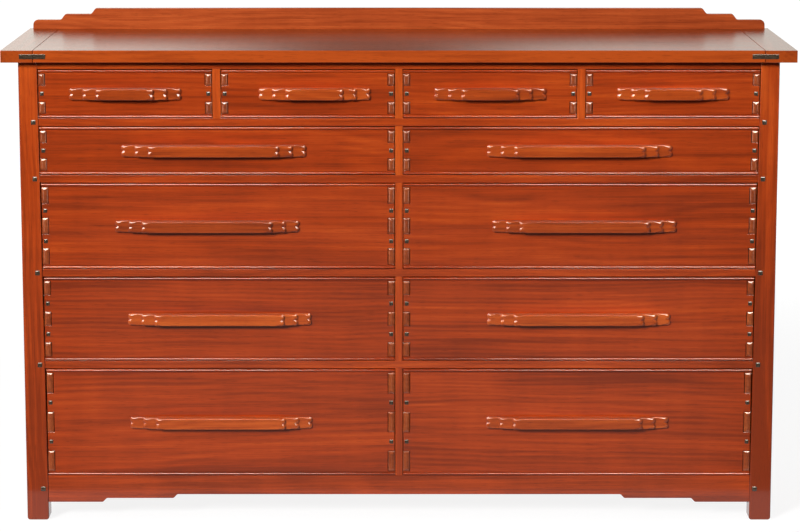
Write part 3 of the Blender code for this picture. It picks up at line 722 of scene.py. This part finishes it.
def add_apron():
    (_, half), depth, (low, high) = spans("apron")
    edge = lifted_edge(half, low, APRON_LIFT, APRON_LIFT_RUN, APRON_LENGTHS)
    outline = [(-half, low), *edge, (half, low), (half, high), (-half, high)]
    apron = eased(prism(outline, "y", depth), RAIL_EASE, along="x")
    apron = grained(apron, "x", "apron 3", APRON_TONE, True)
    add_piece("apron_board", [apron], "case_wood", "case", "apron")


def add_sides():
    along = grown((POST_BACK, BACK_POST_FRONT), -FIT_GAP)
    half = (along[1] - along[0]) / 2
    for side, word in SIDES:
        node = f"side_{word}"
        across, depth, (low, high) = spans(node)
        edge = lifted_edge(half, low, SIDE_LIFT, SIDE_LIFT_RUN, (SIDE_END_LENGTH,))
        top = low + SIDE_BOTTOM_RAIL_HEIGHT
        outline = [(-half, low), *edge, (half, low), (half, top), (-half, top)]
        outline = [(middle_of(along) + first, second) for first, second in outline]
        lower = eased(prism(outline, "x", across), RAIL_EASE, along="yz")
        upper = board(across, along, (high - SIDE_TOP_RAIL_HEIGHT, high), RAIL_EASE, "y")
        rails = [grained(lower, "y", f"{node} lower"), grained(upper, "y", f"{node} upper")]
        add_piece(f"{node}_rails", rails, "case_wood", "case", node)
        thickness = around(middle_of(across), SIDE_PANEL_THICKNESS)
        panel = board(thickness, depth, grown((top, high - SIDE_TOP_RAIL_HEIGHT), OVERLAP))
        panel = grained(panel, "z", f"{node} panel", 0.0, True)
        add_piece(f"{node}_panel", [panel], "case_wood", "case", node)


def add_back():
    across, depth, height = spans("back_frame")
    boards = []
    for low in (height[0], height[1] - BACK_RAIL_HEIGHT):
        rail = board(grown(across, -BACK_STILE_WIDTH), depth, (low, low + BACK_RAIL_HEIGHT), along="x")
        boards.append(grained(rail, "x", f"back rail {low:.2f}"))
    for left in (across[0], across[1] - BACK_STILE_WIDTH):
        stile = board((left, left + BACK_STILE_WIDTH), depth, height, along="z")
        boards.append(grained(stile, "z", f"back stile {left:.2f}"))
    add_piece("back_frame_boards", boards, "case_wood", "case", "back_frame")
    panel = grained(board(*spans("back_panel")), "x", "back panel", 0.0, True)
    add_piece("back_panel_board", [panel], "inner_wood", "case", "back_panel")


def panel_spans(opening_half, top_row):
    """Where the dust panels of the right half of a drawer frame lie, from side to side."""
    stile_half = spans("centre_partition")[0][1]
    inner = stile_half + DRAWER_REVEAL + RUNNER_BEARING
    outer = opening_half - DRAWER_REVEAL - RUNNER_BEARING
    if not top_row:
        return [(inner, outer)]
    runner = grown(spans("short_stile_right")[0], DRAWER_REVEAL + RUNNER_BEARING)
    return [(inner, runner[0]), (runner[1], outer)]


def frame_boards(node, low, front, height, opening_half, top_row):
    """Runners, back rail and dust panels of a drawer frame, as grained boards."""
    reach = spans(node)[0][1]
    z_span = (low, low + height)
    depth = (front, INSIDE_BACK - FRAME_BACK_RAIL_DEPTH)
    panels = panel_spans(opening_half, top_row)
    half_back = spans("post_back_right")[0][1] - POST_TOP_WIDTH - PEG_PROUD - FIT_GAP
    back_rail = board((-half_back, half_back), (depth[1], INSIDE_BACK), z_span)
    boards = [grained(back_rail, "x", f"{node} back")]
    edges = [0, *[edge for panel in panels for edge in panel], reach]
    for side, word in SIDES:
        for number, (start, end) in enumerate(zip(edges, edges[1:])):
            across = sorted((side * start, side * end))
            if number % 2:
                z_panel = around(low + height / 2, DUST_PANEL_THICKNESS)
                shape = board(grown(across, OVERLAP), grown(depth, OVERLAP), z_panel)
                boards.append(grained(shape, "x", f"{node} panel {number} {word}"))
            else:
                along = depth if number < len(edges) - 2 else (POST_BACK + FIT_GAP, depth[1])
                shape = board(across, along, z_span)
                boards.append(grained(shape, "y", f"{node} runner {number} {word}"))
    return boards


def front_rail(half_length, low, high):
    """A new shape: the rail between two rows, rounder along its lower edge."""
    rail = board((-half_length, half_length), (RAIL_FRONT, RAIL_BACK), (low, high), along="")
    rail = eased(rail, RAIL_LOWER_EASE, along="x", where=lambda point: point.z < low + NEAR)
    return eased(rail, RAIL_EASE, along="x", where=lambda point: point.z > high - NEAR)


def add_drawer_frames():
    """The frame under each row, whose front rail shows, and the one above the first row."""
    for row in range(1, ROWS + 1):
        node = f"drawer_frame_{row}"
        low = spans(node)[2][0]
        floor = low + RAIL_HEIGHT
        opening_half = HALF_CASE - post_width_at(floor)
        if row < ROWS:
            rail_half = HALF_CASE - post_width_at(low) - FIT_GAP
            tone = RAIL_TONE + RAIL_TONE_STEP * row
            rail = grained(front_rail(rail_half, low, floor), "x", f"{node} rail", tone)
            add_piece(f"{node}_rail", [rail], "case_wood", "case", node)
            front = RAIL_BACK
        else:
            front = spans(node)[1][0]
        boards = frame_boards(node, low, front, RAIL_HEIGHT, opening_half, row == 1)
        inner = opening_half - DRAWER_REVEAL + GUIDE_CLEARANCE
        for side, word in SIDES:
            across = sorted((side * inner, side * (spans(node)[0][1] - GUIDE_CLEARANCE)))
            along = grown((POST_BACK, BACK_POST_FRONT), -2 * GUIDE_CLEARANCE)
            guide = board(across, along, (floor, floor + GUIDE_HEIGHT))
            boards.append(grained(guide, "y", f"{node} guide {word}"))
        add_piece(f"{node}_runners", boards, "inner_wood", "case", node)
    _, _, (low, high) = spans("top_frame")
    rail_half = HALF_CASE - post_width_at(low) - FIT_GAP
    rail = front_rail(rail_half, low, high)
    add_piece("top_frame_rail", [grained(rail, "x", "top rail")], "case_wood", "case", "top_frame")
    boards = frame_boards("top_frame", low, RAIL_BACK, high - low, opening_half, True)
    add_piece("top_frame_kickers", boards, "inner_wood", "case", "top_frame")


def row_opening(row):
    """Lower and upper edge of a row's opening."""
    floor = spans(f"drawer_frame_{row}")[2][0] + RAIL_HEIGHT
    above = "top_frame" if row == 1 else f"drawer_frame_{row - 1}"
    return floor, spans(above)[2][0]


def add_partitions():
    """The centre stiles and the board behind them, and the short stiles with their guides."""
    across, _, height = spans("centre_partition")
    stiles = []
    for row in range(1, ROWS + 1):
        opening = grown(row_opening(row), RAIL_EASE)
        stile = board(across, (RAIL_FRONT, RAIL_FRONT + STILE_DEPTH), opening, RAIL_EASE, "z")
        tone = CENTRE_STILE_TONE + CENTRE_STILE_TONE_STEP * row
        stiles.append(grained(stile, "z", f"centre stile {row}", tone))
    add_piece("centre_stiles", stiles, "case_wood", "case", "centre_partition")
    boards = []
    for row in range(1, ROWS + 1):
        opening = row_opening(row)
        part = board(across, (RAIL_FRONT + STILE_DEPTH, INSIDE_BACK), opening)
        boards.append(grained(part, "y", f"partition {row}"))
    add_piece("centre_partition_board", boards, "inner_wood", "case", "centre_partition")
    for _, word in SIDES:
        node = f"short_stile_{word}"
        across = spans(node)[0]
        opening = row_opening(1)
        depth = (RAIL_FRONT, RAIL_FRONT + STILE_DEPTH)
        stile = board(across, depth, grown(opening, RAIL_EASE), RAIL_EASE, "z")
        stile = grained(stile, "z", node, SHORT_STILE_TONE)
        add_piece(f"{node}_front", [stile], "case_wood", "case", node)
        guide = board(across, (depth[1], INSIDE_BACK), (opening[0], opening[0] + GUIDE_HEIGHT))
        add_piece(f"{node}_guide", [grained(guide, "y", node)], "inner_wood", "case", node)


def with_painted_shade_on_top(shape, height):
    """Makes the wood at a height darker: painted shade on the top's upward faces, which the lamps light
    more than its front edges.
    """
    tones = shape.verts.layers.float["tone"]
    for vert in shape.verts:
        if vert.co.z > height - NEAR:
            vert[tones] += TOP_PAINTED_SHADE
    return shape


def add_top():
    """The top panel, the end boards across its ends, and the black splines over the seams."""
    across, depth, height = spans("top_panel")
    panel = board(grown(across, -SEAM_GAP), depth, height, TOP_EASE, "x")
    panel = eased(panel, SEAM_EASE, along="y")
    # Painted shade on the upward face of the top panel.
    panel = with_painted_shade_on_top(grained(panel, "x", "top 2", TOP_EDGE_TONE), height[1])
    add_piece("top_board", [panel], "top_wood", "case", "top_panel")
    for side, word in SIDES:
        node = f"breadboard_{word}"
        across, depth, height = spans(node)
        outer = side * max(abs(across[0]), abs(across[1]))
        end = board(across, depth, height, along="")
        end = eased(end, TOP_EASE, along="x")
        end = eased(end, TOP_EASE, along="y", where=lambda point: abs(point.x - outer) < NEAR)
        end = eased(end, SEAM_EASE, along="y", where=lambda point: abs(point.x - outer) > TOP_EASE * 2)
        # Painted shade on the upward face of the end board.
        end = with_painted_shade_on_top(grained(end, "y", node, TOP_EDGE_TONE), height[1])
        add_piece(f"{node}_end", [end], "top_wood", "case", node)
        node = f"spline_{word}"
        across, (front, back), height = spans(node)
        seam = middle_of(across)
        inner = seam - side * (across[1] - across[0]) / 2
        outer = seam + side * (across[1] - across[0]) / 2
        step = front + SPLINE_STEP
        outline = [(inner, back), (inner, step), (seam, step), (seam, front)]
        outline += [(outer, front), (outer, back)]
        spline = eased(prism(outline, "z", height), EDGE_EASE)
        add_piece(f"{node}_key", [grained(spline, "x", node)], "ebony", "case", node)


def add_backsplash():
    (_, half), depth, (base, top) = spans("backsplash")
    level = top - len(SPLASH_LENGTHS) * SPLASH_LIFT
    corner = quarter_arc((-half, level), (0, -SPLASH_END_ROUND), (SPLASH_END_ROUND, 0))
    edge = lifted_edge(half, level, SPLASH_LIFT, SPLASH_LIFT_RUN, SPLASH_LENGTHS)
    far_corner = [(-across, height) for across, height in reversed(corner)]
    outline = [(half, base), (-half, base), *corner, *edge, *far_corner]
    splash = prism(outline, "y", depth)
    splash = eased(splash, 2 * RAIL_EASE, along="xz", where=lambda point: point.z > base + OVERRUN)
    splash = grained(splash, "x", "splash", SPLASH_TONE)
    # Its finish carries a painted haze in place of the sheen of the panels.
    add_piece("backsplash_board", [splash], "case_wood", "case", "backsplash", finish="splash_wood_with_painted_haze")


# The drawers


def front_profile(face, low, high):
    """Cross-section of a drawer front, with a bead and a quirk along both edges."""
    edge = []
    for step in range(BEAD_STEPS + 1):
        turn = math.pi * step / BEAD_STEPS
        edge.append((face - BEAD_PROUD * math.sin(turn), BEAD_HEIGHT * (1 - math.cos(turn)) / 2))
    edge += [(face + QUIRK_DEPTH, BEAD_HEIGHT), (face + QUIRK_DEPTH, QUIRK_EDGE), (face, QUIRK_EDGE)]
    lower = [(along, low + up) for along, up in edge]
    upper = [(along, high - up) for along, up in reversed(edge)]
    back = face + FRONT_THICKNESS
    return [(back, low), *lower, *upper, (back, high)]


def finger_spans(row, low, high):
    """Lower and upper edge of each finger of a drawer side."""
    count, tall = FINGERS[row]
    pitch = (high - low - 2 * FINGER_MARGIN - tall) / (count - 1)
    starts = [low + FINGER_MARGIN + pitch * number for number in range(count)]
    return [(start, start + tall) for start in starts]


def add_drawer_front(name, row, face):
    """A front with a notch for each finger, and black pegs between them."""
    across, _, (low, high) = spans(f"{name}_front")
    across = grown(across, -SHADOW_GAP)
    front = prism(front_profile(face, low + SHADOW_GAP, high - SHADOW_GAP), "x", across)
    notches = bmesh.new()
    near, far = face - OVERRUN, face + FRONT_THICKNESS + OVERRUN
    fingers = finger_spans(row, low, high)
    sides = (
        (across[0] - OVERRUN, across[0] + BOX_SIDE_THICKNESS + FIT_GAP),
        (across[1] - BOX_SIDE_THICKNESS - FIT_GAP, across[1] + OVERRUN),
    )
    for left, right in sides:
        corners = [(left, near), (right, near), (right, far), (left, far)]
        for finger in fingers:
            heights = grown(finger, FIT_GAP)
            loft(notches, [[(*corner, height) for corner in corners] for height in heights])
    front = combined(front, notches, "DIFFERENCE")
    field = (low + SHADOW_GAP + QUIRK_EDGE + NEAR, high - SHADOW_GAP - QUIRK_EDGE - NEAR)
    front = eased(
        front,
        EDGE_EASE,
        2,
        where=lambda point: abs(point.y - face) < NEAR and field[0] < point.z < field[1],
    )
    front = grained(front, "x", f"{name} front", FRONT_TONES[row])
    add_piece(f"{name}_face", [front], "front_wood", name, f"{name}_front")
    pegs = []
    for edge, inwards in ((across[0], 1), (across[1], -1)):
        for below, above in zip(fingers, fingers[1:]):
            place = (edge + inwards * BOX_SIDE_THICKNESS / 2, face, (below[1] + above[0]) / 2)
            peg = crowned_peg(place, (0, -1), DRAWER_PEG_SIZE)
            pegs.append(grained(peg, "z", f"{name} {place}"))
    add_piece(f"{name}_pegs", pegs, "ebony", name, f"{name}_front")


def crown(tip, size, tilts, inwards):
    """Places and insets of the rings of an end domed along an arc, from its rim to its tip."""
    depth, width = size
    rim, peak = tilts
    steps = []
    for step in range(ROUND_STEPS + 1):
        tilt = rim + (peak - rim) * step / ROUND_STEPS
        inset = (math.sin(rim) - math.sin(tilt)) / (math.sin(rim) - math.sin(peak))
        rise = (math.cos(tilt) - math.cos(rim)) / (math.cos(peak) - math.cos(rim))
        steps.append((tip + inwards * depth * (1 - rise), width * inset))
    return steps


def pillow(across, tip, root, height):
    """A new shape: a finger whose front end is rounded like a pillow."""
    half_width = (across[1] - across[0]) / 2
    half_height = (height[1] - height[0]) / 2
    rings = []
    for along, inset in [(root, 0), *crown(tip, FINGER_CROWN, FINGER_TILTS, 1)]:
        corner = min(EDGE_EASE + inset * FINGER_ROUNDING, (half_width - inset) * ROUNDEST)
        points = rounded_square(half_width - inset, corner, half_height - inset)
        rings.append([(middle_of(across) + side, along, middle_of(height) + up) for side, up in points])
    shape = bmesh.new()
    loft(shape, rings)
    return shape


def add_drawer_box(name, row, face):
    """The sides with their fingers, the back and the bottom."""
    node = f"{name}_box"
    across, (tip, rear), (floor, ceiling) = spans(node)
    low, high = spans(f"{name}_front")[2]
    shoulder = face + FRONT_THICKNESS + FIT_GAP
    inside = grown(across, -BOX_SIDE_THICKNESS)
    for word, side in (("left", (across[0], inside[0])), ("right", (inside[1], across[1]))):
        plate = board(side, (shoulder, rear), (floor, ceiling), EDGE_EASE)
        fingers = bmesh.new()
        for finger in finger_spans(row, low, high):
            part = pillow(grown(side, -SHADOW_GAP), tip, shoulder + OVERLAP, grown(finger, -SHADOW_GAP))
            mesh = bpy.data.meshes.new("finger")
            part.to_mesh(mesh)
            part.free()
            fingers.from_mesh(mesh)
            bpy.data.meshes.remove(mesh)
        plate = combined(plate, fingers, "UNION")
        add_piece(f"{name}_side_{word}", [grained(plate, "y", f"{name} {word}")], "box_wood", name, node)
    bottom_z = (low + BOX_BOTTOM_RAISE, low + BOX_BOTTOM_RAISE + BOX_BOTTOM_THICKNESS)
    depth = (shoulder - FIT_GAP - OVERLAP, rear - BOX_BACK_INSET)
    bottom = board(grown(inside, OVERLAP), depth, bottom_z)
    add_piece(f"{name}_bottom", [grained(bottom, "x", f"{name} bottom")], "inner_wood", name, node)
    thickness = around(depth[1] - BOX_BACK_THICKNESS, BOX_BACK_THICKNESS)
    back = board(grown(inside, OVERLAP), thickness, (bottom_z[1], ceiling - BOX_BACK_DROP))
    add_piece(f"{name}_back", [grained(back, "x", f"{name} back")], "box_wood", name, node)


def forked_outline(half_length, half_height, inset):
    """A bar seen from the front, drawn smaller by an inset, with two lobes and a notch at each end.

    The lobes are drawn smaller by more than the long edges, so that they become round like domes.
    """
    lobe = half_height / 2
    radius = lobe - inset * LOBE_INSET
    upper = [(3 * lobe - half_length, half_height - inset)]
    for step in range(ROUND_STEPS * 2 + 1):
        turn = math.pi / 2 + (math.pi / 2 + LOBE_TURN) * step / (ROUND_STEPS * 2)
        upper.append((lobe - half_length + radius * math.cos(turn), lobe + radius * math.sin(turn)))
    along, up = upper[-1]
    notch = (min(along + up * math.tan(LOBE_TURN), LOBE_NOTCH * lobe - half_length), 0)
    end = [*upper, notch, *[(first, -second) for first, second in reversed(upper)]]
    return end + [(-first, second) for first, second in reversed(end)]


def pull_bar(middle, face, half_length, half_height, reach):
    """A new shape: one tier of a pull, from the drawer's face out, with its front edges rounded."""
    rings = []
    for out, inset in [(0, 0), *crown(reach, PULL_CROWN, PULL_TILTS, -1)]:
        outline = forked_outline(half_length, half_height, inset)
        rings.append([(middle[0] + across, face - out, middle[1] + up) for across, up in outline])
    shape = bmesh.new()
    loft(shape, rings)
    return shape


def add_drawer_pull(name):
    """A pull of three tiers, with a cove for the fingers below and behind it."""
    across, (_, face), height = spans(f"{name}_pull")
    middle = (middle_of(across), middle_of(height))
    half_length = (across[1] - across[0]) / 2
    half_height = (height[1] - height[0]) / 2
    reach = 0
    pull = None
    for depth in PULL_TIER_DEPTHS:
        reach += depth
        bar = pull_bar(middle, face, half_length, half_height, reach)
        pull = bar if pull is None else combined(pull, bar, "UNION")
        shortest = half_length
        half_length -= PULL_TIER_STEP
        half_height -= PULL_TIER_EASE
    low = height[0]
    cove_face = face - COVE_DEPTH
    curve = quarter_arc((cove_face, low + COVE_HEIGHT), (COVE_DEPTH, 0), (0, -COVE_HEIGHT))
    behind = face + OVERRUN
    outline = [(behind, low - OVERRUN), (behind, low + COVE_HEIGHT), *curve, (cove_face, low - OVERRUN)]
    cove = prism(outline, "x", around(middle[0], 2 * (shortest - COVE_END)))
    pull = combined(pull, cove, "DIFFERENCE")
    pull = grained(pull, "x", f"{name} pull", PULL_TONES[name])
    add_piece(f"{name}_handle", [pull], "pull_wood", name, f"{name}_pull")


def add_drawers():
    names = {f"drawer_1{letter}": 1 for letter in "abcd"}
    for row in range(2, ROWS + 1):
        names.update({f"drawer_{row}_left": row, f"drawer_{row}_right": row})
    for name, row in names.items():
        face = spans(f"{name}_front")[1][0] + BEAD_PROUD
        add_drawer_front(name, row, face)
        add_drawer_box(name, row, face)
        add_drawer_pull(name)


# Studio

LAMP_TARGET = (0, -0.2, 0.7)
FILL = ((0, 5.0, 1.3), (3.0, 1.5), 70)
KEYS = {
    "key_left": ((-5.0, -8.5, 4.6), (1.7, 2.3), 1200),
    "key_right": ((2.3, -3.7, 2.6), (0.7, 1.0), 34),
}
SHEENS = {
    "sheen_left": ((-0.95, -2.35, 2.95), (1.5, 1.7), 290),
    "sheen_right": ((1.05, -2.35, 2.95), (1.6, 1.7), 305),
    "strip_left": ((-2.6, -2.5, 0.55), (0.7, 1.0), 11),
    "strip_right": ((2.6, -2.5, 0.55), (0.7, 1.0), 9),
    "sheen_side": ((-3.4, -1.8, 3.55), (1.6, 1.5), 240),
}
SHEEN_COLOUR = (1.0, 0.88, 0.74)
SHADED_BOARDS = ("top_board", "breadboard_left_end", "breadboard_right_end", "backsplash_board")
FLOOR_SPANS = ((-14, 14), (-0.5, 16))
FLOOR_NEAR = (1.6, 5.0)
FLOOR_GLOW = (0.87, 1.0)
FLOOR_GREYS = (0.4, 0.2)

# The world by the direction that is seen in a mirror: from and to, and the brightness at both
MIRROR_COLOUR = (1.0, 0.94, 0.85)
FRONT_MIRROR = 0.03
BEHIND = (-0.4, 0.1)
BACK_MIRROR = ((-0.10, -0.02, 1.35, 0.05), (0, 0.07, 0.05, 1.05))
FLOOR_AISLE = (0.1, 0.135, 1.0, 0.25)
MIRRORED_FLOOR = (-0.22, -0.12, 0.6, FRONT_MIRROR)
AMBIENT = (-0.2, 1.0, 0.03, 0.24)


def seen(nodes):
    """One for rays that look at a surface, directly, mirrored or through glass, and zero for others."""
    path = nodes.add("ShaderNodeLightPath").outputs
    found = nodes.math("MAXIMUM", path["Is Camera Ray"], path["Is Glossy Ray"])
    return nodes.math("MAXIMUM", found, path["Is Transmission Ray"])


def add_floor():
    """A white floor that keeps a faint shadow of the chest."""
    (left, right), (front, back) = FLOOR_SPANS
    mesh = bpy.data.meshes.new("floor")
    corners = [(left, front, 0), (right, front, 0), (right, back, 0), (left, back, 0)]
    mesh.from_pydata(corners, [], [(0, 1, 2, 3)])
    floor = bpy.data.objects.new("floor", mesh)
    bpy.context.scene.collection.objects.link(floor)
    material = bpy.data.materials.new("floor_paper")
    material.use_nodes = True
    nodes = Nodes(material.node_tree)
    material.node_tree.nodes.remove(material.node_tree.nodes["Principled BSDF"])
    looked_at = seen(nodes)
    colour = nodes.mix(looked_at, *[(grey, grey, grey, 1) for grey in FLOOR_GREYS])
    diffuse = nodes.add("ShaderNodeBsdfDiffuse", {"Color": colour})
    away = nodes.add("ShaderNodeNewGeometry").outputs["Position"]
    away = nodes.add("ShaderNodeVectorMath", {0: away}, operation="LENGTH").outputs["Value"]
    glow = nodes.math("MULTIPLY", looked_at, nodes.between(away, *FLOOR_NEAR, *FLOOR_GLOW))
    glow = nodes.add("ShaderNodeEmission", {"Strength": glow})
    both = nodes.add("ShaderNodeAddShader", {0: diffuse.outputs[0], 1: glow.outputs[0]})
    nodes.feed(material.node_tree.nodes["Material Output"].inputs["Surface"], both.outputs[0])
    mesh.materials.append(material)


def add_world():
    """White to the camera, dimmer in the mirror towards the room in front, and soft light all round."""
    world = bpy.data.worlds.new("studio")
    world.use_nodes = True
    bpy.context.scene.world = world
    nodes = Nodes(world.node_tree)
    path = nodes.add("ShaderNodeLightPath").outputs
    way = nodes.add("ShaderNodeTexCoord").outputs["Generated"]
    split = nodes.add("ShaderNodeSeparateXYZ", {0: way}).outputs
    sides = [nodes.between(split["X"], *reach) for reach in BACK_MIRROR]
    behind = nodes.between(split["Y"], *BEHIND)
    behind = nodes.math("MULTIPLY", behind, nodes.math("MAXIMUM", *sides))
    below = nodes.between(split["Z"], *MIRRORED_FLOOR)
    sideways = nodes.math("ABSOLUTE", split["X"])
    below = nodes.math("MULTIPLY", below, nodes.between(sideways, *FLOOR_AISLE))
    mirrored = nodes.math("MAXIMUM", nodes.math("MAXIMUM", behind, FRONT_MIRROR), below)
    in_mirror = nodes.math("MAXIMUM", path["Is Glossy Ray"], path["Is Transmission Ray"])
    ambient = nodes.between(split["Z"], *AMBIENT)
    strength = nodes.add("ShaderNodeMix", {0: in_mirror, 2: ambient, 3: mirrored}).outputs[0]
    strength = nodes.add("ShaderNodeMix", {0: path["Is Camera Ray"], 2: strength, 3: 1.0}).outputs[0]
    background = world.node_tree.nodes["Background"]
    colour = nodes.mix(in_mirror, (1, 1, 1, 1), (*MIRROR_COLOUR, 1))
    nodes.feed(background.inputs["Color"], colour)
    nodes.feed(background.inputs["Strength"], strength)


def add_lamp(name, place, size, power, colour=(1, 1, 1)):
    """A rectangular lamp that faces the chest."""
    lamp = bpy.data.lights.new(name, "AREA")
    lamp.color = colour
    lamp.shape = "RECTANGLE"
    lamp.size, lamp.size_y = size
    lamp.energy = power
    holder = bpy.data.objects.new(name, lamp)
    bpy.context.scene.collection.objects.link(holder)
    holder.location = place
    away = Vector(place) - Vector(LAMP_TARGET)
    holder.rotation_euler = away.to_track_quat("Z", "Y").to_euler()
    holder.visible_camera = False
    return holder


def add_lamps():
    """Soft lamps, the one on the left strongest, and panels that only show as highlights.

    The panels don't light the top boards, which would mirror them towards someone behind the chest.
    """
    for name, lamp in KEYS.items():
        add_lamp(name, *lamp).visible_glossy = False
    shaded = bpy.data.collections.new("shaded from the panels")
    for name in SHADED_BOARDS:
        shaded.objects.link(bpy.data.objects[name])
    for member in shaded.collection_objects:
        member.light_linking.link_state = "EXCLUDE"
    for name, panel in SHEENS.items():
        holder = add_lamp(name, *panel, SHEEN_COLOUR)
        holder.visible_diffuse = False
        holder.light_linking.receiver_collection = shaded
    add_lamp("fill", *FILL).visible_glossy = False


def add_camera():
    camera = bpy.data.cameras.new("camera")
    camera.sensor_width = SENSOR_MM
    camera.lens = LENS_MM
    camera.shift_y = CAMERA_SHIFT
    holder = bpy.data.objects.new("camera", camera)
    bpy.context.scene.collection.objects.link(holder)
    holder.location = CAMERA_PLACE
    holder.rotation_euler = (math.pi / 2 - CAMERA_PITCH, 0, 0)
    bpy.context.scene.camera = holder


add_camera()
add_world()
add_floor()
add_posts()
add_apron()
add_sides()
add_back()
add_drawer_frames()
add_partitions()
add_top()
add_backsplash()
add_drawers()
add_lamps()
bpy.context.scene.view_settings.view_transform = "Standard"
